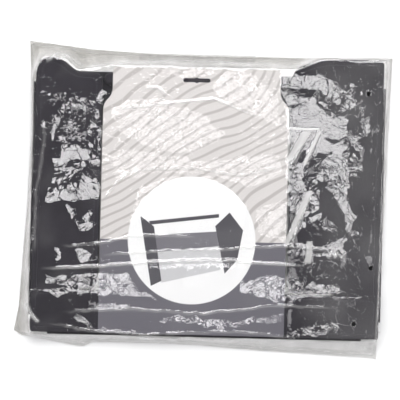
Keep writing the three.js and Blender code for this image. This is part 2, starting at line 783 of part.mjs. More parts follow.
// Frame of the buckle's plug: ladder bars for the strap, stop collar and guide
function buildFrame(group) {
  const places = ladderPlaces();
  const half = frameThickness / 2;
  const slotHalf = webbingWidth / 2 + slotClearance;
  const body = plate(
    rectangle(places.tailEnd, -collarGap, -frameWidth / 2, frameWidth / 2, tailCornerRadius),
    -half,
    half,
  );
  const collar = softPlate(
    rectangle(
      -collarGap - collarLength,
      -collarGap,
      -housingMouthWidth / 2,
      housingMouthWidth / 2,
      housingSoftEdge,
    ),
    -housingThickness / 2,
    housingThickness / 2,
    housingSoftEdge / 2,
  );
  const guide = plate(
    [
      corner(-collarGap - collarLength, -guideWidth / 2),
      corner(guideLength - guideTaper, -guideWidth / 2),
      corner(guideLength, -guideWidth / 4),
      corner(guideLength, guideWidth / 4),
      corner(guideLength - guideTaper, guideWidth / 2),
      corner(-collarGap - collarLength, guideWidth / 2),
    ],
    -prongThickness / 2,
    prongThickness / 2,
  );
  const cutHalf = ladderSlotLength / 2;
  const cutHigh = frameThickness;
  const cutSlot = (place) => box(place - cutHalf, place + cutHalf, -slotHalf, slotHalf, -cutHigh, cutHigh);
  const barHalf = ladderBarThickness / 2;
  const barLow = places.middleBar - frameBarLength / 2 - ladderSlotLength / 2;
  const barHigh = places.middleBar + frameBarLength / 2 + ladderSlotLength / 2;
  const overBar = box(barLow, barHigh, -slotHalf, slotHalf, barHalf, cutHigh);
  const underBar = box(barLow, barHigh, -slotHalf, slotHalf, -cutHigh, -barHalf);
  const frame = body
    .add(collar)
    .add(guide)
    .subtract(cutSlot(places.innerSlot))
    .subtract(cutSlot(places.outerSlot))
    .subtract(overBar)
    .subtract(underBar);
  addPiece("buckle_frame", frame, "plastic", group);
}

// Spring prong: a slim arm that ends in a barb, on one side of the guide
function prongOutline() {
  const rootOuterY = prongRootInnerY + prongArmWidth;
  const armOuterY = cavityWidth / 2 - seatGap * 3;
  return [
    corner(prongRootGap, prongRootInnerY),
    corner(prongReach / 2, prongRootInnerY + prongArmWidth / 4, prongArmWidth),
    corner(prongReach, prongTipInnerY, prongEdgeBevel),
    corner(prongReach, prongTipInnerY + prongTipWidth, prongTipWidth / 2),
    corner(latchStart + barbLength + prongArmWidth, barbReachY - prongTipWidth / 2, prongArmWidth),
    corner(latchStart + barbLength, barbReachY, prongTipWidth),
    corner(latchStart, barbReachY, prongEdgeBevel),
    corner(latchStart, armOuterY, prongEdgeBevel),
    corner(prongRootGap, rootOuterY),
  ];
}

function buildProngs(group) {
  const rear = prongOutline();
  const front = rear.map((c) => corner(c.x, -c.y, c.radius)).reverse();
  const half = prongThickness / 2;
  addPiece("buckle_rear_prong", softPlate(rear, -half, half, prongEdgeBevel), "plastic", group);
  addPiece("buckle_front_prong", softPlate(front, -half, half, prongEdgeBevel), "plastic", group);
}

function buildBuckle() {
  const buckle = new THREE.Group();
  buckle.position.set(0, beltY, buckleLevel);
  buildHousing(buckle);
  buildFrame(buckle);
  buildProngs(buckle);
  tray.add(buckle);
}

// Insert card: shoulders below a narrower head, and a hang slot with a rounded middle
function buildCard() {
  const low = -frontHingeEdge - hingeInset + mitreGap;
  const high = halfDepth + cardRearReach;
  const headLeft = cardLeft + cardShoulderInset;
  const headRight = cardRight - cardShoulderInset;
  const shoulderY = high - cardShoulderDrop;
  const shoulderRise = cardShoulderInset / 2;
  const outline = [
    corner(cardLeft, low, cardCornerRadius),
    corner(cardRight, low, cardCornerRadius),
    corner(cardRight, shoulderY - shoulderRise, cardShoulderRadius),
    corner(headRight, shoulderY + shoulderRise, cardShoulderRadius),
    corner(headRight, high, cardCornerRadius),
    corner(headLeft, high, cardCornerRadius),
    corner(headLeft, shoulderY + shoulderRise, cardShoulderRadius),
    corner(cardLeft, shoulderY - shoulderRise, cardShoulderRadius),
  ];
  const slotY = high - hangSlotDrop;
  const slotCorners = rectangle(
    cardCentreX - hangSlotWidth / 2,
    cardCentreX + hangSlotWidth / 2,
    slotY - hangSlotHeight / 2,
    slotY + hangSlotHeight / 2,
    hangSlotHeight / 2,
  );
  const slot = plate(slotCorners, cardLevel - cutOverrun, cardLevel + cardThickness + cutOverrun);
  const bump = new THREE.CylinderGeometry(hangSlotBumpRadius, hangSlotBumpRadius, 2 * cutOverrun, 20);
  bump.rotateX(Math.PI / 2);
  bump.translate(cardCentreX, slotY, cardLevel);
  const card = plate(outline, cardLevel, cardLevel + cardThickness).subtract(slot).subtract(toSolid(bump));
  addPiece("insert_card", card, "card");
}

// Outline of the bag: a turned rectangle with drawn-in sides and slightly wavy ends
function bagOutline() {
  const points = [];
  const halfBag = bagWidth / 2;
  const halfHeight = bagHeight / 2;
  const corners = [
    [-halfBag, -halfHeight],
    [halfBag, -halfHeight],
    [halfBag, halfHeight],
    [-halfBag, halfHeight],
  ];
  corners.forEach(([x, y], side) => {
    const [nextX, nextY] = corners[(side + 1) % corners.length];
    for (let i = 0; i < bagEdgeSteps; i += 1) {
      const t = i / bagEdgeSteps;
      const swell = Math.sin(Math.PI * t);
      const wave = side % 2 === 0 ? bagWaveDepth * swell * Math.cos(2 * Math.PI * bagWaves * t) : 0;
      const waist = side === 3 ? bagWaist * swell : 0;
      const flatX = x + (nextX - x) * t + waist;
      const flatY = y + (nextY - y) * t + wave;
      const turnedX = flatX * Math.cos(bagTurn) - flatY * Math.sin(bagTurn);
      const turnedY = flatX * Math.sin(bagTurn) + flatY * Math.cos(bagTurn);
      points.push([bagCentreX + turnedX, bagCentreY + turnedY]);
    }
  });
  return points;
}

// Outline of everything in the bag, with room for the film to go round it
function contentsOutline(clearance) {
  const earTop = halfDepth + rightEarLength;
  const headLeft = cardCentreX - cardTopWidth / 2;
  const corners = [
    corner(-halfWidth, -halfDepth, trayCornerRadius / 4),
    corner(halfWidth, -halfDepth, trayCornerRadius / 4),
    corner(halfWidth, earTop, leftEarInset),
    corner(halfWidth - rightEarWidth, earTop, rightEarRadius),
    corner(rightInnerX, earTop - rightEarShoulderDrop + rearInset, wallCornerRadius),
    corner(headLeft, earTop - rightEarShoulderDrop + rearInset, wallCornerRadius),
    corner(-hingeEdge + leftEarWidth, halfDepth + leftEarLength / 2, leftEarRadius),
    corner(-hingeEdge + leftEarWidth - leftEarFootWidth, halfDepth + leftEarLength, leftEarRadius),
    corner(-halfWidth, halfDepth + leftEarLength, leftEarRadius),
  ];
  return shapeOf(insetOutline(corners, -clearance)).extractPoints(4).shape.map((p) => [p.x, p.y]);
}

// Distance from the origin to an outline, along a direction.
function reachOf(points, angle) {
  const dirX = Math.cos(angle);
  const dirY = Math.sin(angle);
  let reach = 0;
  points.forEach(([x, y], i) => {
    const [nextX, nextY] = points[(i + 1) % points.length];
    const edgeX = nextX - x;
    const edgeY = nextY - y;
    const cross = dirX * edgeY - dirY * edgeX;
    if (cross === 0) return;
    const along = (x * edgeY - y * edgeX) / cross;
    const share = (x * dirY - y * dirX) / cross;
    if (along > 0 && share >= -sameShare && share <= 1 + sameShare) reach = Math.max(reach, along);
  });
  return reach;
}

// Front film: flat flange on the back film, upright sides round the contents, and a flat front
function buildFrontFilm() {
  const outer = bagOutline();
  const foot = contentsOutline(contentsClearance);
  const angles = [...outer, ...foot].map(([x, y]) => Math.atan2(y, x)).sort((a, b) => a - b);
  const distinct = angles.filter((angle, i) => i === 0 || angle - angles[i - 1] > sameAngle);
  const shoulderLevel = frontFilmLevel - filmShoulder;
  const thick = filmThickness;
  const profiles = distinct.map((angle) => {
    const flange = reachOf(outer, angle);
    const side = Math.min(reachOf(foot, angle), flange - 4 * thick);
    return [
      [flange, flangeLevel],
      [flange, flangeLevel + thick],
      [side + thick, flangeLevel + thick],
      [side + thick, shoulderLevel],
      [side - filmShoulder / 4, frontFilmLevel + thick],
      [0, frontFilmLevel + thick],
      [0, frontFilmLevel],
      [side - filmShoulder / 4 - thick / 2, frontFilmLevel],
      [side, shoulderLevel],
      [side, flangeLevel],
    ].map(([reach, z]) => [reach * Math.cos(angle), reach * Math.sin(angle), z]);
  });
  const positions = [];
  const triangle = (a, b, c) => positions.push(...a, ...c, ...b);
  profiles.forEach((here, i) => {
    const next = profiles[(i + 1) % profiles.length];
    here.forEach((point, k) => {
      const after = (k + 1) % here.length;
      if (k === 5) return;
      if (k !== 6) triangle(point, next[after], next[k]);
      if (k !== 4) triangle(point, here[after], next[after]);
    });
  });
  const geometry = new THREE.BufferGeometry();
  geometry.setAttribute("position", new THREE.Float32BufferAttribute(positions, 3));
  return toSolid(geometry);
}

// Bag: back film, front film with its vent holes, and the tape that closes its mouth
function buildBag() {
  const outline = bagOutline();
  const backShape = new THREE.Shape(outline.map(([x, y]) => new THREE.Vector2(x, y)));
  const back = new THREE.ExtrudeGeometry(backShape, { depth: filmThickness, bevelEnabled: false });
  addPiece("polybag_back_film", toSolid(back), "film");

  let front = buildFrontFilm();
  ventInsets.forEach((inset, i) => {
    const vent = new THREE.CylinderGeometry(ventDiameter / 2, ventDiameter / 2, 2 * cutOverrun, 12);
    vent.rotateX(Math.PI / 2);
    const y = -halfDepth + trayDepth * ventHeightShares[i];
    vent.translate(halfWidth - inset, y, frontFilmLevel);
    front = front.subtract(toSolid(vent));
  });
  addPiece("polybag_front_film", front, "film");

  const tapeLow = flangeLevel + filmThickness + seatGap;
  const tapeHigh = bagCentreY + bagHeight / 2 - bagWaveDepth - tapeInset;
  const tape = box(
    cardCentreX - tapeLength / 2,
    cardCentreX + tapeLength / 2,
    tapeHigh - tapeWidth,
    tapeHigh,
    tapeLow,
    tapeLow + tapeThickness,
  );
  addPiece("polybag_closure_tape", tape, "clear");
}

buildBase();
buildWritingPocket();
buildWings();
buildFrontWall();
buildBumper();
buildBelt();
buildBuckle();
buildCard();
buildBag();

export default tray;
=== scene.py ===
"""Looks of a children's travel tray, folded flat behind its insert card in a clear crinkled bag.

Plans are drawn in millimetres in the frame's axes and turned into metres when a mesh is made.
"""
import logging
import math
from dataclasses import dataclass
from enum import Enum, StrEnum

import bpy
import numpy as np
from mathutils import Matrix, Vector
from mathutils.bvhtree import BVHTree
from mathutils.geometry import delaunay_2d_cdt


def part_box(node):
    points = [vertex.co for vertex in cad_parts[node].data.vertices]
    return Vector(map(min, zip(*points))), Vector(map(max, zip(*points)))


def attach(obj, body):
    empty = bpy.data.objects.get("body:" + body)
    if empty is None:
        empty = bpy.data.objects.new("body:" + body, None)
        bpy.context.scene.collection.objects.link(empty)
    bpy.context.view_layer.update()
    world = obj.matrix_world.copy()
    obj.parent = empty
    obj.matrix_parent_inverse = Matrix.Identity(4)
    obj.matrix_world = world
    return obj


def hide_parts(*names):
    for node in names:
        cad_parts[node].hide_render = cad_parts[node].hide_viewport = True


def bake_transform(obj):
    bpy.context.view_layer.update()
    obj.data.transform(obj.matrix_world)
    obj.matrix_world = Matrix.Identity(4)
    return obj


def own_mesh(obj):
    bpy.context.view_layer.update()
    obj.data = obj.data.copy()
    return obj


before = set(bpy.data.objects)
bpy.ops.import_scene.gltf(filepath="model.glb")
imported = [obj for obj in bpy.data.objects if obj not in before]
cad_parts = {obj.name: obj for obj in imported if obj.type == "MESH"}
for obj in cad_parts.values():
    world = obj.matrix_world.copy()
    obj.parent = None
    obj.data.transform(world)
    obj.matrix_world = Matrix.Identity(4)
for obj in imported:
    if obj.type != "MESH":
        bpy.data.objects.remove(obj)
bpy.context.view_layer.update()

LOG = logging.getLogger("travel_tray")
MM = 0.001
TINY = 1e-12

Points = np.ndarray
Faces = list[list[int]]
Object = bpy.types.Object
Finish = bpy.types.Material
Node = bpy.types.Node
Socket = bpy.types.NodeSocket
Source = float | tuple[float, ...] | Socket | Node
Colour = tuple[int, int, int]
Pair = tuple[float, float]
Triple = tuple[float, float, float]


# Plans and fields


def smooth(low: float, high: float, value: Points) -> Points:
    """Soft step from 0 at low to 1 at high."""
    t = np.clip((value - low) / (high - low), 0.0, 1.0)
    return t * t * (3.0 - 2.0 * t)


def bell(value: Points, width: float) -> Points:
    """Soft bump that is 1 where the value is 0 and fades within about that width."""
    return np.exp(-((value / width) ** 2))


def lengths_of(steps: Points) -> Points:
    """Length of each row."""
    return np.linalg.norm(steps, axis=1)


def stretch_distance(points: Points, a: Points, b: Points) -> tuple[Points, Points]:
    """Distance of points to a straight stretch from a to b.

    Args:
        points: Places in the plan, one per row.
        a: Start of the stretch.
        b: End of the stretch.

    Returns:
        The distances, and the share of the stretch at which each nearest place lies.
    """
    along = b - a
    share = np.clip(((points - a) @ along) / max(along @ along, TINY), 0.0, 1.0)
    return lengths_of(points - a - share[:, None] * along), share


def edge_distance(points: Points, loop: Points) -> Points:
    """Distance of points to a closed outline, positive inside it.

    Args:
        points: Places in the plan, one per row.
        loop: Corners of the outline in order.

    Returns:
        One signed distance per point.
    """
    loop = np.asarray(loop, float)
    nearest = np.full(len(points), np.inf)
    inside = np.zeros(len(points), bool)
    for a, b in zip(loop, np.roll(loop, -1, axis=0)):
        nearest = np.minimum(nearest, stretch_distance(points, a, b)[0])
        crosses = (a[1] > points[:, 1]) != (b[1] > points[:, 1])
        rise = b[1] - a[1] if b[1] != a[1] else TINY
        inside ^= crosses & (points[:, 0] < (b[0] - a[0]) * (points[:, 1] - a[1]) / rise + a[0])
    return np.where(inside, nearest, -nearest)


def line_distance(points: Points, path: Points) -> tuple[Points, Points]:
    """Distance of points to an open line.

    Args:
        points: Places in the plan, one per row.
        path: Corners of the line in order.

    Returns:
        The distances, and the share of the line's length at which each nearest place lies.
    """
    path = np.asarray(path, float)
    nearest = np.full(len(points), np.inf)
    share_there = np.zeros(len(points))
    lengths = lengths_of(np.diff(path, axis=0))
    before = 0.0
    for a, b, length in zip(path[:-1], path[1:], lengths):
        gap, share = stretch_distance(points, a, b)
        share_there = np.where(gap < nearest, (before + share * length) / lengths.sum(), share_there)
        nearest = np.minimum(nearest, gap)
        before += length
    return nearest, share_there


def resample(loop: Points, spacing: float, closed: bool = True) -> Points:
    """Line with extra points between its corners.

    Args:
        loop: Corners in order.
        spacing: Largest distance between two neighbours.
        closed: Whether the line returns to its start.

    Returns:
        The corners and the points between them.
    """
    made = []
    for a, b in zip(loop, np.roll(loop, -1, axis=0) if closed else loop[1:]):
        count = max(1, int(math.ceil(np.linalg.norm(b - a) / spacing)))
        made.extend(a + (b - a) * k / count for k in range(count))
    return np.array(made if closed else [*made, loop[-1]])


def inset(loop: Points, distance: float) -> Points:
    """Outline moved inwards, point by point.

    Args:
        loop: Corners of an anticlockwise outline.
        distance: How far each side moves in.

    Returns:
        As many corners as before.
    """
    before = loop - np.roll(loop, 1, axis=0)
    after = np.roll(before, -1, axis=0)
    before = before / np.maximum(lengths_of(before), TINY)[:, None]
    after = after / np.maximum(lengths_of(after), TINY)[:, None]
    normals = np.stack([-(before[:, 1] + after[:, 1]), before[:, 0] + after[:, 0]], axis=1)
    turn = np.maximum(1.0 + (before * after).sum(axis=1), 0.5)
    return loop + normals * (distance / turn)[:, None]


def bend(before: Points, corner: Points, after: Points, radius: float, most: float,
         steps: int) -> list[Points]:
    """Round way past a corner.

    Args:
        before: Place before the corner.
        corner: The corner itself.
        after: Place after the corner.
        radius: How far before and after the corner the bend reaches.
        most: Largest share of a stretch that it takes.
        steps: Number of stretches in the bend.

    Returns:
        Places from the bend's start to its end.
    """
    ends = []
    for place in (before, after):
        way = place - corner
        length = np.linalg.norm(way)
        ends.append(corner + way / length * min(radius, most * length))
    shares = np.linspace(0.0, 1.0, steps + 1)
    return [(1 - t) ** 2 * ends[0] + 2 * t * (1 - t) * corner + t * t * ends[1] for t in shares]


def rounded(corners: list[Triple], steps: int = 6) -> Points:
    """Closed outline with rounded corners.

    Args:
        corners: Place and rounding radius of each corner.
        steps: Number of stretches in a rounding.

    Returns:
        Corners of the outline.
    """
    places = [np.array(corner[:2], float) for corner in corners]
    made = []
    for i, (_, _, radius) in enumerate(corners):
        before, here, after = places[i - 1], places[i], places[(i + 1) % len(places)]
        made.extend(bend(before, here, after, radius, 0.49, steps) if radius > 0 else [here])
    return np.array(made)


def rectangle(left: float, right: float, low: float, high: float, radius: float) -> Points:
    """Rectangle with rounded corners, anticlockwise."""
    return rounded([(left, low, radius), (right, low, radius), (right, high, radius), (left, high, radius)])


def box_of(node: str) -> tuple[Vector, Vector]:
    """Lowest and highest corner of a fixed solid, in millimetres."""
    low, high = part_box(node)
    return low / MM, high / MM


def rim_ways(node: str) -> dict[Pair, list]:
    """Open edges of the upper face of a fixed solid.

    Args:
        node: Name of the solid in the frame.

    Returns:
        For each place on an edge, the places that follow it.
    """
    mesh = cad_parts[node].data
    points = np.array([v.co for v in mesh.vertices]) / MM
    lowest = points[:, 2].max() - 0.01
    key = [tuple(np.round(p[:2], 3)) for p in points]
    edges = set()
    for face in mesh.polygons:
        ids = list(face.vertices)
        if min(points[i][2] for i in ids) < lowest:
            continue
        for a, b in zip(ids, ids[1:] + ids[:1]):
            edge = (key[a], key[b])
            if edge[::-1] in edges:
                edges.remove(edge[::-1])
            elif edge[0] != edge[1]:
                edges.add(edge)
    ways: dict[Pair, list] = {}
    for a, b in edges:
        ways.setdefault(a, []).append(b)
    return ways


def outline_of(node: str) -> Points:
    """Longest outline of the upper face of a fixed solid.

    Args:
        node: Name of the solid in the frame.

    Returns:
        Its corners in millimetres, anticlockwise.
    """
    ways = rim_ways(node)
    loops = []
    while ways:
        start = min(ways)
        loop = [start]
        while loop[-1] in ways:
            here = loop[-1]
            ahead = ways[here].pop()
            if not ways[here]:
                del ways[here]
            if ahead == start:
                break
            loop.append(ahead)
        loops.append(np.array(loop))
    longest = max(loops, key=lambda each: lengths_of(each - np.roll(each, 1, axis=0)).sum())
    after = np.roll(longest, -1, axis=0)
    turns_left = np.sum(longest[:, 0] * after[:, 1] - after[:, 0] * longest[:, 1]) > 0
    return longest if turns_left else longest[::-1]


@dataclass
class Wrinkles:
    """Seeded fields of folds over the plan."""

    seed: int
    cells: int = 96
    shift: Pair = (37.0, 41.0)
    jitter: float = 0.42
    tallness: float = 0.01

    def soft(self, points: Points, size: float, stretch: Pair = (1.0, 1.0)) -> Points:
        """Smooth noise from about -1 to 1.

        Args:
            points: Places in the plan.
            size: Width of a hump in millimetres.
            stretch: How much longer the humps are along each axis.

        Returns:
            One value per point.
        """
        lattice = np.random.default_rng(self.seed).uniform(-1, 1, (self.cells, self.cells))
        at = points / (size * np.array(stretch)) + np.array(self.shift)
        cell = np.floor(at).astype(int)
        share = at - cell
        u, v = (share * share * (3 - 2 * share)).T

        def pick(right: int, up: int) -> Points:
            """Lattice values at that corner of each point's cell."""
            return lattice[(cell[:, 0] + right) % self.cells, (cell[:, 1] + up) % self.cells]

        low = pick(0, 0) * (1 - u) + pick(1, 0) * u
        high = pick(0, 1) * (1 - u) + pick(1, 1) * u
        return low * (1 - v) + high * v

    def facets(self, points: Points, size: float, stretch: float = 1.0, turn: float = 0.0) -> Points:
        """Crumpled field of flat facets with sharp creases between them, from about -1 to 1.

        Args:
            points: Places in the plan.
            size: Usual width of a facet in millimetres.
            stretch: How much longer the facets are along their own axis.
            turn: Angle of that axis in degrees.

        Returns:
            One value per point.
        """
        rng = np.random.default_rng(self.seed)
        angle = math.radians(turn)
        spin = np.array([[math.cos(angle), math.sin(angle)], [-math.sin(angle), math.cos(angle)]])
        turned = points @ spin.T / np.array([stretch, 1.0])
        low = turned.min(axis=0) - 2 * size
        count = np.ceil((turned.max(axis=0) + 2 * size - low) / size).astype(int) + 1
        across, up = np.meshgrid(np.arange(count[0]), np.arange(count[1]), indexing="ij")
        places = np.stack([across.ravel(), up.ravel()], axis=1) * size + low
        places = places + rng.uniform(-self.jitter, self.jitter, places.shape) * size
        heights = rng.uniform(-1, 1, len(places))
        corners, _, faces, *_ = delaunay_2d_cdt([Vector(p) for p in places], [], [], 0, 1e-6)
        height_at = {tuple(np.round(p, 4)): h for p, h in zip(places, heights)}
        scale = size * self.tallness
        lifted = [(*c, height_at.get(tuple(np.round(c[:], 4)), 0.0) * scale) for c in corners]
        tree = BVHTree.FromPolygons(lifted, [list(f) for f in faces])
        hits = [tree.ray_cast(Vector((x, y, size)), Vector((0, 0, -1)))[0] for x, y in turned]
        return np.array([hit[2] if hit is not None else 0.0 for hit in hits]) / scale


def soft_pair(points: Points, seeds: tuple[int, int], size: float) -> Points:
    """Shift along each axis that wanders smoothly over the plan."""
    return np.column_stack([Wrinkles(seed).soft(points, size) for seed in seeds])


# Mesh building


def link(name: str, data: bpy.types.ID) -> Object:
    """New object with that data, in the scene.

    Args:
        name: Name of the object.
        data: Its mesh, camera or lamp.

    Returns:
        The object.
    """
    made = bpy.data.objects.new(name, data)
    bpy.context.scene.collection.objects.link(made)
    return made


def soften(mesh: bpy.types.Mesh) -> None:
    """Shades every face smooth."""
    mesh.polygons.foreach_set("use_smooth", [True] * len(mesh.polygons))


def make_piece(name: str, points: Points, faces: Faces, finish: Finish) -> Object:
    """Smooth object with a mesh of its own at the origin.

    Args:
        name: Name of the piece.
        points: Corners in millimetres.
        faces: Corner numbers of each face.
        finish: Material of the whole piece.

    Returns:
        The new object, linked to the scene.
    """
    mesh = bpy.data.meshes.new(name)
    mesh.from_pydata([tuple(p) for p in np.asarray(points) * MM], [], [list(map(int, f)) for f in faces])
    mesh.validate()
    mesh.update()
    soften(mesh)
    mesh.materials.append(finish)
    return link(name, mesh)


def grid_faces(columns: int, rows: int) -> Faces:
    """Quads of a grid with so many columns of points, where the points run up each column in turn."""
    starts = [i * rows + j for i in range(columns - 1) for j in range(rows - 1)]
    return [[k, k + rows, k + rows + 1, k + 1] for k in starts]


def ring_faces(rings: int, count: int, closed: bool = False) -> Faces:
    """Faces between rings of points.

    Args:
        rings: Number of rings.
        count: Number of points in a ring.
        closed: Whether the last ring joins the first one, instead of a cap at each end.

    Returns:
        Quads, and the two caps where there are any.
    """
    starts = [(r * count, (r + 1) % rings * count) for r in range(rings if closed else rings - 1)]
    sides = [(i, (i + 1) % count) for i in range(count)]
    faces = [[a + i, a + j, b + j, b + i] for a, b in starts for i, j in sides]
    if not closed:
        last = (rings - 1) * count
        faces.extend([list(range(count))[::-1], list(range(last, last + count))])
    return faces


def level_path(loop: Points, depth: float, level: float) -> Points:
    """Outline moved inwards, at one level."""
    return np.column_stack([inset(loop, depth), np.full(len(loop), level)])


def ring_loft(loop: Points, *section: tuple[float, tuple], closed: bool = False) -> tuple[Points, Faces]:
    """Rings along an outline, from a section of parts that hold a level, and insets and heights over it."""
    rings = [level_path(loop, depth, level + rise) for level, places in section for depth, rise in places]
    return np.concatenate(rings), ring_faces(len(rings), len(loop), closed)


@dataclass
class Panel:
    """Crowned closed panel over an outline: rounded edges, sewn grooves and soft waves.

    Sizes are in millimetres. A pocket leaves room under the panel for a board.
    """

    loop: Points
    low: float
    high: float
    edge: float = 1.5
    under_edge: float = 0.4
    spacing: float = 4.0
    crown: float = 0.0
    crown_reach: float = 26.0
    seams: tuple[float, ...] = ()
    seam_depth: float = 0.35
    seam_width: float = 1.1
    wave: float = 0.15
    wave_size: float = 28.0
    calm_edge: float = 10.0
    seed: int = 3
    pocket: float = 0.0
    pocket_inset: float = 1.2
    pocket_wall: float = 0.3
    groove: tuple = ()
    groove_width: float = 1.2
    ring_shares: tuple[float, ...] = (0.0, 0.12, 0.35, 0.7, 1.0)
    seam_rings: tuple[float, ...] = (-1.4, 0.0, 1.4)

    def rounding(self, depth: Points, radius: float) -> Points:
        """How far a rounded edge of that radius lies back at a depth inside the outline."""
        reach = np.clip(depth / radius, 0.0, 1.0)
        return radius * (1.0 - np.sqrt(np.maximum(1.0 - (1.0 - reach) ** 2, 0.0)))

    def top(self, points: Points, depth: Points) -> Points:
        """Level of the upper face.

        Args:
            points: Places in the plan.
            depth: How deep inside the outline each one lies.

        Returns:
            One level per point.
        """
        away = self.wave * smooth(self.edge, self.edge + self.calm_edge, depth)
        level = self.high - self.rounding(depth, self.edge)
        level = level + self.crown * smooth(0.0, self.crown_reach, depth)
        level = level + away * Wrinkles(self.seed).soft(points, self.wave_size, (1.0, 1.7))
        level = level + 0.4 * away * Wrinkles(self.seed + 9).soft(points, self.wave_size / 3)
        for seam in self.seams:
            level = level - self.seam_depth * bell(depth - seam, self.seam_width)
        if self.groove:
            level = level - self.seam_depth * bell(line_distance(points, self.groove)[0], self.groove_width)
        return level

    def seam_path(self, seam: float, lift: float) -> Points:
        """Closed path along a seam at that depth, a little over the upper face."""
        rim = resample(inset(resample(self.loop, 3.0), seam), 1.5)
        return np.column_stack([rim, self.top(rim, np.maximum(edge_distance(rim, self.loop), 0.0)) + lift])

    def bottom(self, depth: Points) -> Points:
        """Level of the lower face at that depth inside the outline."""
        level = self.low + self.rounding(depth, self.under_edge)
        return level + self.pocket * smooth(self.pocket_inset, self.pocket_inset + self.pocket_wall, depth)

    def plan(self) -> tuple[Points, Points, Faces]:
        """Flat net of triangles with rings along the edge and seams.

        Returns:
            Places in the plan, their depths inside the outline, and the triangles.
        """
        rim = resample(self.loop, self.spacing)
        depths = {round(share * self.edge, 3) for share in self.ring_shares}
        depths |= {round(seam + step, 3) for seam in self.seams for step in self.seam_rings}
        if self.pocket:
            depths |= {self.pocket_inset, self.pocket_inset + self.pocket_wall}
        low, high = rim.min(axis=0) + self.spacing / 2, rim.max(axis=0)
        xs, ys = (np.arange(low[k], high[k], self.spacing) for k in (0, 1))
        inner = np.array([(x, y) for x in xs for y in ys])
        inner = inner[edge_distance(inner, rim) > max(depths) + 0.55 * self.spacing]
        places = np.concatenate([*(inset(rim, depth) for depth in sorted(depths)), inner])
        count = len(rim)
        edges = [(i, (i + 1) % count) for i in range(count)]
        corners, _, faces, origins, *_ = delaunay_2d_cdt([Vector(p) for p in places], edges, [], 1, 1e-5)
        flat = np.array([c[:] for c in corners])
        depth = np.maximum(edge_distance(flat, rim), 0.0)
        depth[[i for i, source in enumerate(origins) if any(s < count for s in source)]] = 0.0
        return flat, depth, [list(f) for f in faces]

    def build(self) -> tuple[Points, Faces]:
        """Closed panel.

        Returns:
            Points and faces.
        """
        flat, depth, faces = self.plan()
        total = len(flat)
        used = {edge: None for f in faces for edge in zip(f, f[1:] + f[:1])}
        sides = [[b, a, total + a, total + b] for a, b in used if (b, a) not in used]
        under = [[total + i for i in reversed(f)] for f in faces]
        upper = np.column_stack([flat, self.top(flat, depth)])
        lower = np.column_stack([flat, self.bottom(depth)])
        return np.concatenate([upper, lower]), faces + under + sides


# Finishes


def linear(*colour: int) -> tuple[float, float, float, float]:
    """Screen colour, with parts from 0 to 255, as linear red, green and blue with a full alpha."""
    shares = (value / 255 for value in colour)
    return (*(s / 12.92 if s <= 0.04045 else ((s + 0.055) / 1.055) ** 2.4 for s in shares), 1.0)


class Nodes:
    """Short way to add nodes to a tree and to feed their inputs."""

    def __init__(self, tree: bpy.types.NodeTree, prefix: str) -> None:
        """Takes over a tree whose usual node types start with the prefix."""
        self.tree = tree
        self.prefix = prefix

    def add(self, kind: str, settings: dict | None = None, *first: Source | None, **named: Source) -> Node:
        """New node.

        Args:
            kind: Node type, without the tree's prefix where it has that one.
            settings: Properties of the node itself.
            first: Values, sockets or nodes for its first inputs, in order, with None to skip one.
            named: The same by input name, with spaces written as underscores.

        Returns:
            The node.
        """
        node = self.tree.nodes.new(kind if "Node" in kind else self.prefix + kind)
        for key, value in (settings or {}).items():
            setattr(node, key, value)
        for socket, value in zip(node.inputs, first):
            if value is not None:
                self.feed(socket, value)
        for key, value in named.items():
            self.feed(node.inputs[key.replace("_", " ")], value)
        return node

    def feed(self, socket: Socket, value: Source) -> None:
        """Links an input or sets its value.

        Args:
            socket: Input of a node.
            value: Output of a node, a node for its first output, or a plain value.
        """
        if isinstance(value, (Socket, Node)):
            self.tree.links.new(value.outputs[0] if isinstance(value, Node) else value, socket)
        else:
            socket.default_value = value


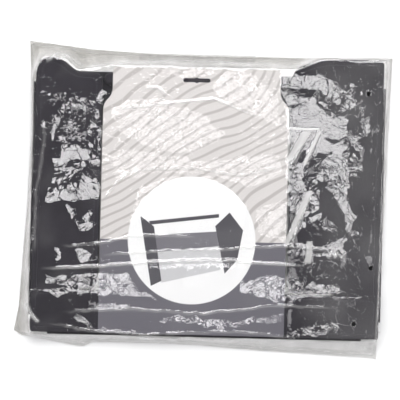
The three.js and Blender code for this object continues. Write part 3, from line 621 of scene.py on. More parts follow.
class Graph(Nodes):
    """Nodes of a material."""

    def __init__(self, name: str) -> None:
        """Starts an empty material.

        Args:
            name: Name of the material.
        """
        self.material = bpy.data.materials.new(name)
        self.material.use_nodes = True
        super().__init__(self.material.node_tree, "ShaderNode")
        self.tree.nodes.clear()
        self.coords = self.add("TexCoord").outputs["Object"]

    def math(self, operation: str, *values: Source) -> Socket:
        """Result of a math node for one or two values."""
        return self.add("Math", {"operation": operation}, *values).outputs[0]

    def plus(self, a: Source, b: Source) -> Socket:
        """Sum of two values."""
        return self.math("ADD", a, b)

    def times(self, a: Source, b: Source) -> Socket:
        """Product of two values."""
        return self.math("MULTIPLY", a, b)

    def wave(self, value: Source, per_metre: float) -> Socket:
        """Sine with so many waves per metre of the value."""
        return self.math("SINE", self.times(value, per_metre * 2 * math.pi))

    def vector(self, operation: str, *vectors: Source, out: str = "Vector") -> Socket:
        """Result of a vector math node for one or two vectors."""
        return self.add("VectorMath", {"operation": operation}, *vectors).outputs[out]

    def scaled(self, vector: Source, factor: Source) -> Socket:
        """Vector or colour times a factor."""
        return self.add("VectorMath", {"operation": "SCALE"}, vector, Scale=factor).outputs[0]

    def around_zero(self, colour: Source, factor: float) -> Socket:
        """Random colour turned into a shift to both sides, at most half the factor."""
        return self.scaled(self.vector("SUBTRACT", colour, (0.5, 0.5, 0.5)), factor)

    def shaded(self, colour: Colour, shade: Source) -> Socket:
        """Screen colour made lighter or darker by a factor."""
        return self.scaled(linear(*colour)[:3], shade)

    def mix(self, share: Source, a: Source, b: Source) -> Socket:
        """Mix of two colours by the share of the second one."""
        return self.add("Mix", {"data_type": "RGBA"}, share, *[None] * 5, a, b).outputs[2]

    def noise(self, scale: float, detail: float = 2.0, rough: float = 0.5,
              at: Source | None = None) -> Socket:
        """Noise from 0 to 1: humps per metre, finer layers, their strength, and other coordinates."""
        at = at or self.coords
        return self.add("TexNoise", Vector=at, Scale=scale, Detail=detail, Roughness=rough).outputs[0]

    def cells(self, feature: str, place: Source, scale: float, out: str) -> Socket:
        """Voronoi cells, so many per metre."""
        return self.add("TexVoronoi", {"feature": feature}, Vector=place, Scale=scale).outputs[out]

    def ramp(self, value: Source, *limits: float) -> Socket:
        """Value moved from one range into another, 0 to 1 by default, with soft ends."""
        return self.add("MapRange", {"interpolation_type": "SMOOTHSTEP"}, value, *limits).outputs[0]

    def under(self, value: Source, limit: float, soft: float = 0.0003) -> Socket:
        """1 where a length is under a limit, with a soft edge."""
        return self.ramp(value, limit + soft, limit - soft)

    def parts(self) -> tuple:
        """The three parts of the object's own coordinates."""
        return tuple(self.add("SeparateXYZ", Vector=self.coords).outputs)

    def attribute(self, name: str, out: str = "Fac") -> Socket:
        """Value that the piece's mesh stores under that name."""
        return self.add("Attribute", {"attribute_name": name}).outputs[out]

    def bump(self, height: Source, distance: float, strength: float, **normal: Source) -> Socket:
        """Normal bumped by a relief from 0 to 1, with its depth in metres."""
        return self.add("Bump", Height=height, Distance=distance, Strength=strength, **normal).outputs[0]

    def film(self, tint: Source, mirror: float, shiny: Node, cloud: Source, white: Node) -> Finish:
        """Film of three shares: what passes, what mirrors and what scatters.

        Args:
            tint: Colour of what passes.
            mirror: Share that mirrors where the film is seen straight on.
            shiny: Shader of that share.
            cloud: Share that scatters.
            white: Shader of that share.

        Returns:
            The finished material.
        """
        facing = self.add("LayerWeight", Blend=0.5).outputs["Facing"]
        share = self.plus(self.times(self.math("POWER", facing, 4.0), 0.8), mirror)
        mixed = self.add("MixShader", {}, share, self.add("BsdfTransparent", Color=tint), shiny)
        return self.finish(self.add("MixShader", {}, cloud, mixed, white))

    def finish(self, shader: Node) -> Finish:
        """Connects the shader and hands over the material."""
        self.add("OutputMaterial", Surface=shader)
        return self.material


@dataclass(frozen=True)
class WovenCloth:
    """Plain woven cloth: threads across and along, with a little uneven shade.

    Threads and scales are per metre, and the relief is in metres.
    """

    name: str
    colour: Colour
    threads: float = 1500.0
    relief: float = 0.00012
    roughness: float = 0.86
    sheen: float = 0.12
    unevenness: float = 0.14
    fuzz_scale: float = 2600.0
    patch_scale: float = 28.0
    gloss_scale: float = 60.0

    def build(self) -> Finish:
        """Material with thread relief, broad unevenness and painted shade that follows the threads' relief.

        Returns:
            The material.
        """
        g = Graph(self.name)
        x, y, z = g.parts()
        weave = g.times(g.wave(x, self.threads / 2), g.wave(g.plus(y, z), self.threads / 2))
        height = g.plus(g.times(weave, 0.5), g.times(g.noise(self.fuzz_scale, 1.0), 0.6))
        patches = g.noise(self.patch_scale, 4.0, 0.6)
        broad = g.ramp(patches, 0.3, 0.7, 1 - self.unevenness, 1 + self.unevenness)
        # Painted shade: the colour darkens in the weave's dips and lightens on its crests.
        shade = g.plus(broad, g.times(weave, 0.08))
        gloss = g.noise(self.gloss_scale, 3.0)
        return g.finish(g.add(
            "BsdfPrincipled", Base_Color=g.shaded(self.colour, shade),
            Normal=g.bump(height, self.relief, 0.7),
            Roughness=g.ramp(gloss, 0.3, 0.7, self.roughness - 0.06, self.roughness + 0.05),
            Sheen_Weight=self.sheen, Sheen_Roughness=0.5, Specular_IOR_Level=0.25,
        ))


class Rib(Enum):
    """Direction that the ribs of a tape or strap run across."""

    ALONG_X = 0
    ALONG_Y = 1


@dataclass(frozen=True)
class RibbedTape:
    """Woven strap, elastic or binding tape with fine ribs.

    Ribs and scales are per metre, and the relief is in metres.
    """

    name: str
    colour: Colour
    across: Rib
    ribs: float = 700.0
    relief: float = 0.0002
    roughness: float = 0.75
    patch_scale: float = 45.0

    def build(self) -> Finish:
        """Material with ribs one way and finer threads the other way, and painted shade along the ribs.

        Returns:
            The material.
        """
        g = Graph(self.name)
        parts = g.parts()
        rib = g.wave(parts[self.across.value], self.ribs)
        thread = g.wave(parts[1 - self.across.value], self.ribs * 1.55)
        height = g.plus(rib, g.times(g.times(rib, thread), 0.5))
        # Painted shade: the colour lightens on the ribs' crests and darkens in the grooves between them.
        shade = g.plus(g.ramp(g.noise(self.patch_scale, 3.0), 0.3, 0.7, 0.85, 1.15), g.times(rib, 0.14))
        return g.finish(g.add(
            "BsdfPrincipled", Base_Color=g.shaded(self.colour, shade), Roughness=self.roughness,
            Normal=g.bump(height, self.relief, 0.6), Sheen_Weight=0.15, Specular_IOR_Level=0.3,
        ))


@dataclass(frozen=True)
class MouldedPlastic:
    """Moulded plastic with a fine spark texture and slight rub marks.

    Scales are per metre, and the relief is in metres.
    """

    name: str
    colour: Colour
    roughness: float = 0.42
    grain: float = 2200.0
    marks: float = 0.14
    mark_scale: float = 180.0
    relief: float = 0.00006

    def build(self) -> Finish:
        """Material with grain, uneven gloss and faint marks.

        Returns:
            The material.
        """
        g = Graph(self.name)
        marks = g.noise(self.mark_scale, 4.0, 0.7)
        shade = g.ramp(marks, 0.3, 0.8, 1 - 0.7 * self.marks, 1 + 1.3 * self.marks)
        return g.finish(g.add(
            "BsdfPrincipled", Base_Color=g.shaded(self.colour, shade),
            Roughness=g.ramp(marks, 0.35, 0.7, self.roughness - 0.06, self.roughness + 0.12),
            Normal=g.bump(g.noise(self.grain, 2.0), self.relief, 0.5),
        ))


class Tone(Enum):
    """Greys of the plain picture on the card."""

    DARK = (72, 70, 78)
    MIDDLE = (118, 116, 124)
    PALE = (212, 212, 214)


PICTURE = (
    (Tone.PALE, ((-50, -90), (16, -74), (38, -40), (-58, -50))),
    (Tone.MIDDLE, ((-62, -56), (36, -44), (40, -28), (-66, -36))),
    (Tone.DARK, ((-62, -94), (-50, -88), (-60, -26), (-76, -14))),
    (Tone.DARK, ((22, -78), (36, -62), (42, -28), (26, -8), (10, -24))),
    (Tone.DARK, ((-64, -24), (14, -14), (14, -10), (-66, -20))),
)


@dataclass(frozen=True)
class PrintedCard:
    """Satin card: pale with wavy lines above, a dark band below, and a white disc with a plain picture.

    Places on the card are in millimetres, and scales are per metre.
    """

    name: str
    pale: Colour = (226, 222, 220)
    line: Colour = (196, 191, 189)
    band: Colour = (108, 106, 115)
    white: Colour = (254, 254, 254)
    fibre: Colour = (150, 148, 146)
    band_top: float = -41.5
    disc_middle: Pair = (-16.6, -41.0)
    disc_radius: float = 73.0
    slope: Pair = (-55.0, 74.0)
    wander: tuple = ((9.0, 5.0), (26.0, 0.9))
    fibre_scale: float = 900.0
    fibre_relief: float = 0.00004
    gloss_scale: float = 40.0

    def polygon(self, g: Graph, corners: tuple) -> Socket:
        """Mask of a convex polygon.

        Args:
            g: Graph of the material.
            corners: Corners in millimetres, anticlockwise.

        Returns:
            1 inside the polygon and 0 outside.
        """
        inside = None
        for (ax, ay), (bx, by) in zip(corners, corners[1:] + corners[:1]):
            length = math.hypot(bx - ax, by - ay)
            nx, ny = (ay - by) / length, (bx - ax) / length
            side = g.vector("DOT_PRODUCT", g.coords, (nx, ny, 0.0), out="Value")
            gap = g.math("SUBTRACT", side, (nx * ax + ny * ay) * MM)
            inside = gap if inside is None else g.math("MINIMUM", inside, gap)
        return g.ramp(inside, -0.0002, 0.0002)

    def build(self) -> Finish:
        """Material with the print, a satin coat and faint fibres.

        Returns:
            The material.
        """
        g = Graph(self.name)
        x, y, _ = g.parts()
        phase = g.plus(g.times(x, self.slope[0]), g.times(y, self.slope[1]))
        for scale, reach in self.wander:
            phase = g.plus(phase, g.times(g.math("SUBTRACT", g.noise(scale, 0.0), 0.5), reach))
        art = g.mix(g.ramp(g.wave(phase, 1.0), 0.45, 0.8), linear(*self.pale), linear(*self.line))
        art = g.mix(g.under(y, self.band_top * MM), art, linear(*self.band))
        middle = (self.disc_middle[0] * MM, self.disc_middle[1] * MM, 0.0)
        away = g.vector("DISTANCE", g.add("CombineXYZ", X=x, Y=y), middle, out="Value")
        art = g.mix(g.under(away, self.disc_radius * MM), art, linear(*self.white))
        for tone, corners in PICTURE:
            art = g.mix(self.polygon(g, corners), art, linear(*tone.value))
        fibre = g.noise(self.fibre_scale, 3.0)
        art = g.mix(g.times(fibre, 0.03), art, linear(*self.fibre))
        return g.finish(g.add(
            "BsdfPrincipled", Base_Color=art, Normal=g.bump(fibre, self.fibre_relief, 0.4),
            Roughness=g.ramp(g.noise(self.gloss_scale, 3.0), 0.3, 0.7, 0.38, 0.5),
        ))


@dataclass(frozen=True)
class BagFilm:
    """Clear crinkled film: it mirrors lamps in its facets and clouds where it is folded.

    The piece's own attributes steer it: lean tips the sheen, crumple sets the facets, cloud whitens,
    with a painted sheen over the right wing, and a fourth value greys the tint in the margins, partly
    for the doubled film and partly as painted shade. Scales are per metre.
    """

    name: str
    gloss: float = 0.05
    mirror: float = 0.046
    haze: float = 0.002
    facets: float = 0.42
    facet_sizes: tuple = ((150.0, 0.55), (380.0, 0.45))
    crease_sizes: tuple = ((60.0, 0.075, 0.0), (150.0, 0.11, 0.5))
    warp_scale: float = 90.0
    warp: float = 0.012
    relief: float = 0.00035
    clear: Triple = (0.994, 0.993, 0.992)
    veiled: Triple = (0.9, 0.897, 0.888)
    white: Triple = (0.9, 0.89, 0.88)
    shine: Triple = (1.0, 0.985, 1.0)

    def smoothness(self, g: Graph, place: Socket) -> Socket:
        """1 on the smooth film between its creases and 0 in them, where the sheen breaks off.

        Args:
            g: Graph of the material.
            place: Bent coordinates that the creases follow.

        Returns:
            The share of the sheen that is left.
        """
        share = None
        for scale, width, least in self.crease_sizes:
            gap = g.cells("DISTANCE_TO_EDGE", place, scale, "Distance")
            broken = g.ramp(g.noise(scale * 0.4, 1.0), 0.43, 0.56, 1.0, least)
            here = g.math("MAXIMUM", g.ramp(gap, 0.0, width), broken)
            share = here if share is None else g.times(share, here)
        return share

    def tilt(self, g: Graph, place: Socket) -> Socket:
        """How far facets and glare patches tip the film.

        Args:
            g: Graph of the material.
            place: Bent coordinates that the facets follow.

        Returns:
            Shift of the normal along the plan.
        """
        tilt = None
        for scale, share in self.facet_sizes:
            step = g.around_zero(g.cells("F1", place, scale, "Color"), share * self.facets)
            tilt = step if tilt is None else g.vector("ADD", tilt, step)
        lean = g.scaled(g.attribute("lean", "Vector"), self.smoothness(g, place))
        tilt = g.vector("ADD", g.scaled(tilt, g.attribute("crumple")), lean)
        return g.vector("MULTIPLY", tilt, (1.0, 1.0, 0.0))

    def build(self) -> Finish:
        """Material whose sheen follows the facets, creases and glare patches.

        Returns:
            The material.
        """
        g = Graph(self.name)
        swirl = g.add("TexNoise", Vector=g.coords, Scale=self.warp_scale, Detail=2.0).outputs["Color"]
        bent = g.vector("ADD", g.coords, g.around_zero(swirl, self.warp))
        normal = g.add("NewGeometry").outputs["Normal"]
        tipped = g.vector("NORMALIZE", g.vector("ADD", normal, self.tilt(g, bent)))
        creases = g.math("ABSOLUTE", g.math("SUBTRACT", g.noise(70.0, 3.0, 0.6, bent), 0.5))
        height = g.plus(g.ramp(creases, 0.0, 0.05, 1.0, 0.0), g.times(g.noise(420.0, 2.0, 0.5, bent), 0.5))
        tipped = g.bump(g.times(height, g.attribute("crumple")), self.relief, 0.5, Normal=tipped)
        # The tint greys in the margins: partly doubled film, partly painted shade.
        tint = g.mix(g.attribute("veil"), (*self.clear, 1.0), (*self.veiled, 1.0))
        shiny = g.add("BsdfAnisotropic", Color=(*self.shine, 1.0), Roughness=self.gloss, Normal=tipped)
        white = g.add("BsdfDiffuse", Color=(*self.white, 1.0), Normal=tipped)
        return g.film(tint, self.mirror, shiny, g.plus(g.attribute("cloud"), self.haze), white)


@dataclass(frozen=True)
class ClearSheet:
    """Smooth clear sheet or tape with faint waves. Scales are per metre."""

    name: str
    mirror: float = 0.045
    haze: float = 0.03
    gloss: float = 0.08
    clear: float = 0.975
    milk: Triple = (0.9, 0.9, 0.9)
    wave_scale: float = 60.0
    relief: float = 0.0006
    speck_scale: float = 300.0

    def build(self) -> Finish:
        """Material that passes most light, mirrors a little and scatters a little.

        Returns:
            The material.
        """
        g = Graph(self.name)
        normal = g.bump(g.noise(self.wave_scale, 2.0), self.relief, 0.5)
        shiny = g.add("BsdfAnisotropic", Color=(1.0, 1.0, 1.0, 1.0), Roughness=self.gloss, Normal=normal)
        white = g.add("BsdfDiffuse", Color=(*self.milk, 1.0))
        cloud = g.ramp(g.noise(self.speck_scale, 3.0), 0.3, 0.8, self.haze * 0.9, self.haze * 1.2)
        return g.film((self.clear, self.clear, self.clear, 1.0), self.mirror, shiny, cloud, white)


class Finishes:
    """Every material of the tray, made once."""

    def __init__(self) -> None:
        """Builds the materials."""
        self.cloth = WovenCloth("charcoal_cloth", (45, 42, 49)).build()
        self.lining = WovenCloth("lining_cloth", (46, 44, 50), threads=1900.0, unevenness=0.1).build()
        self.foam = WovenCloth("foam_sheet", (168, 168, 174), threads=900.0, sheen=0.0).build()
        self.binding = RibbedTape("binding_tape", (40, 39, 43), Rib.ALONG_X).build()
        self.side_binding = RibbedTape("side_binding_tape", (40, 39, 43), Rib.ALONG_Y).build()
        self.webbing = RibbedTape("belt_webbing", (34, 34, 37), Rib.ALONG_X, 420.0, relief=0.0003).build()
        self.elastic = RibbedTape("elastic_tape", (30, 30, 33), Rib.ALONG_Y, ribs=520.0).build()
        self.net = RibbedTape("net_cord", (36, 36, 40), Rib.ALONG_X, ribs=900.0).build()
        self.thread = WovenCloth("sewing_thread", (84, 82, 90), threads=3000.0, unevenness=0.06).build()
        self.plastic = MouldedPlastic("buckle_plastic", (26, 26, 28)).build()
        # Nearly black vent rings: painted shade for the dark melted edges of the vents.
        self.vent_shade_ring = MouldedPlastic("vent_ring_painted_shade", (4, 4, 5), roughness=0.9).build()
        self.board = MouldedPlastic("board_sheet", (216, 216, 212), roughness=0.55, grain=500.0).build()
        self.writing = MouldedPlastic("writing_sheet", (238, 238, 236), 0.3, grain=900.0, marks=0.02).build()
        self.card = PrintedCard("printed_card").build()
        self.film = BagFilm("bag_film").build()
        self.back_film = BagFilm("bag_back_film", haze=0.02, mirror=0.03).build()
        self.clear_sheet = ClearSheet("clear_pocket_sheet").build()
        tape = ClearSheet("closure_tape_film", mirror=0.03, haze=0.8, clear=0.996, milk=(0.7, 0.692, 0.68))
        self.clear_tape = tape.build()


# Ways to finish a piece


def dress(finish: Finish, *nodes: str) -> None:
    """Gives fixed solids their finish.

    Args:
        finish: The finish.
        nodes: Names of the solids in the frame.
    """
    for node in nodes:
        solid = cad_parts[node]
        solid.data.materials.clear()
        solid.data.materials.append(finish)


def place(piece: Object, body: str, slot: str, *nodes: str) -> Object:
    """Ties a finished piece to its body, hides the solids that it stands for, and logs it.

    Args:
        piece: The piece.
        body: Body that it moves with.
        slot: Not used.
        nodes: Solids that it replaces.

    Returns:
        The same piece.
    """
    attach(piece, body)
    if nodes:
        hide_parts(*nodes)
    report(piece)
    return piece


def report(piece: Object) -> None:
    """Logs a finished piece."""
    LOG.info("%s: %d faces", piece.name, len(piece.data.polygons))


def thicken(piece: Object, thickness: float, offset: float) -> None:
    """Gives a thin skin its millimetres of thickness: outwards for an offset of 1, both ways for 0."""
    shell = piece.modifiers.new("thickness", "SOLIDIFY")
    shell.thickness, shell.offset = thickness * MM, offset


def join(first: Object, other: Object) -> None:
    """Joins an object into the first one."""
    with bpy.context.temp_override(active_object=first, selected_editable_objects=[first, other]):
        bpy.ops.object.join()


def shown_mesh(shown: Object, name: str) -> bpy.types.Mesh:
    """Plain mesh of what an object's modifiers show.

    Args:
        shown: The object.
        name: Name of the mesh.

    Returns:
        The mesh, shaded smooth.
    """
    mesh = bpy.data.meshes.new_from_object(shown.evaluated_get(bpy.context.evaluated_depsgraph_get()))
    mesh.name = name
    soften(mesh)
    return mesh


class Repeater(Nodes):
    """Geometry Nodes tree with named sizes, and the plain mesh that it makes."""

    def __init__(self, name: str, **sizes: float | int) -> None:
        """Starts a tree with one input per size.

        Args:
            name: Name of the tree.
            sizes: Value of each input, in metres or as a whole number.
        """
        super().__init__(bpy.data.node_groups.new(name, "GeometryNodeTree"), "GeometryNode")
        self.sizes = sizes
        face = self.tree.interface
        for way in ("INPUT", "OUTPUT"):
            face.new_socket("Geometry", in_out=way, socket_type="NodeSocketGeometry")
        for label, value in sizes.items():
            kind = "NodeSocketInt" if isinstance(value, int) else "NodeSocketFloat"
            face.new_socket(label, in_out="INPUT", socket_type=kind)
        self.given = self.add("NodeGroupInput").outputs

    def grow(self, name: str, start: bpy.types.Mesh, made: Node,
             finish: Finish) -> Object:
        """Ends the tree, lets it work once and keeps its result.

        Args:
            name: Name of the piece.
            start: Mesh that the tree starts from.
            made: Node that hands over what the tree repeats.
            finish: Material of the piece.

        Returns:
            The piece, a plain mesh.
        """
        real = self.add("RealizeInstances", Geometry=made)
        paint = self.add("SetMaterial", Geometry=real, Material=finish)
        self.add("NodeGroupOutput", Geometry=paint)
        carrier = link(name + "_carrier", start)
        modifier = carrier.modifiers.new("repeater", "NODES")
        modifier.node_group = self.tree
        for socket in self.tree.interface.items_tree:
            if socket.in_out == "INPUT" and socket.name in self.sizes:
                modifier[socket.identifier] = self.sizes[socket.name]
        bpy.context.view_layer.update()
        mesh = shown_mesh(carrier, name)
        mesh.materials.clear()
        mesh.materials.append(finish)
        made_piece = link(name, mesh)
        bpy.data.objects.remove(carrier)
        return made_piece


@dataclass
class StitchRow:
    """Row of sewn stitches along a closed path, made by a node tree. Sizes in millimetres."""

    pitch: float = 3.4
    length: float = 2.4
    width: float = 0.55

    def sew(self, name: str, path: Points, thread: Finish) -> Object:
        """Stitches along a path, one small ball drawn long at each step.

        Args:
            name: Name of the piece.
            path: Closed line of points.
            thread: Thread material.

        Returns:
            The stitches, as one plain mesh.
        """
        tree = Repeater("stitch_row", Pitch=self.pitch * MM, Length=self.length * MM, Width=self.width * MM)
        given = tree.given
        curve = tree.add("MeshToCurve", Mesh=given["Geometry"])
        steps = tree.add("ResampleCurve", {"mode": "LENGTH"}, Curve=curve, Length=given["Pitch"])
        ball = tree.add("MeshIcoSphere", Radius=0.5, Subdivisions=1)
        size = tree.add("ShaderNodeCombineXYZ", X=given["Length"], Y=given["Width"], Z=given["Width"])
        tangent = tree.add("InputTangent")
        turn = tree.add("FunctionNodeAlignRotationToVector", {"axis": "X"}, Vector=tangent)
        put = tree.add(
            "InstanceOnPoints", Points=steps, Instance=ball,
            Rotation=turn, Scale=size,
        )
        mesh = bpy.data.meshes.new(name + "_path")
        edges = [(i, (i + 1) % len(path)) for i in range(len(path))]
        mesh.from_pydata([tuple(p) for p in path * MM], edges, [])
        return tree.grow(name, mesh, put, thread)


@dataclass
class SubAssembly:
    """What is built and dressed together, with the finishes at hand."""

    finishes: Finishes


@dataclass
class FlatCloth:
    """Even sheet that fills the outline and the height of a solid. Sizes in millimetres."""

    name: str
    node: str
    body: str
    slot: str
    rests_on: str
    finish: Finish
    edge: float = 0.4
    under_edge: float = 0.4
    spacing: float = 6.0
    wave: float = 0.0
    wave_size: float = 28.0
    gap: float = 0.0

    def build(self) -> None:
        """Sheet in place, tied to its body."""
        low, high = box_of(self.node)
        panel = Panel(
            outline_of(self.node), low.z, high.z - self.gap, edge=self.edge, under_edge=self.under_edge,
            spacing=self.spacing, wave=self.wave, wave_size=self.wave_size,
        )
        piece = place(make_piece(self.name, *panel.build(), self.finish), self.body, self.slot, self.node)


@dataclass
class BoundEdge(SubAssembly):
    """Tape folded over an edge of the base, with its row of stitches.

    Sizes are in millimetres. The section has three parts, of insets and heights: the foot over the
    solid's lowest level, the inner side under the upper layer, and the back under the highest level.
    """

    name: str
    stitches: str
    node: str
    rests_on: tuple[str, ...]
    flat: Pair
    spacing: float
    layer: float
    seam: float
    foot: tuple
    inner: tuple
    back: tuple

    def build(self) -> None:
        """Tape in place, tied to its body, and its stitches."""
        low, high = box_of(self.node)
        loop = resample(outline_of(self.node), self.spacing)
        section = ((low.z, self.foot), (high.z - self.layer, self.inner), (high.z, self.back))
        piece = make_piece(self.name, *ring_loft(loop, *section, closed=True), self.finishes.binding)
        place(piece, "tray_base", "binding", self.node)
        row = StitchRow().sew(self.stitches, level_path(loop, self.seam, high.z), self.finishes.thread)
        place(row, "tray_base", "binding")


# The bag


class Sheen(Enum):
    """Slope that a stretch of film has towards the lamps."""

    LAMP = (-0.02, 0.24)
    SOFT = (0.3, 0.02)
    FAINT = (0.0, 0.05)
    FLAT = (0.0, 0.0)


@dataclass(frozen=True)
class Glare:
    """Stretch of film that lies tipped towards a lamp, so that it shows as a pale patch."""

    crumple: float
    corners: tuple
    sheen: Sheen = Sheen.LAMP


@dataclass(frozen=True)
class Fold:
    """Raised fold of the film along a path: its width, height, cloudiness and wander."""

    width: float
    rise: float
    cloud: float
    wander: float
    path: tuple


@dataclass(frozen=True)
class Pleat:
    """Doubled stretch of film, which looks milky."""

    cloud: float
    corners: tuple


PLEATS = (
    Pleat(0.4, ((107, 88), (119, 88), (92, 49), (89, 54))),
    Pleat(0.44, ((124, 88), (130, 88), (111, 47), (108, 48))),
    Pleat(0.38, ((113, 19), (121, 19), (93, -46), (90, -38))),
    Pleat(0.4, ((115, -39), (121, -39), (120, -64), (113, -64))),
    Pleat(0.09, ((90, 88), (107, 88), (92, 62), (90, 62))),
)

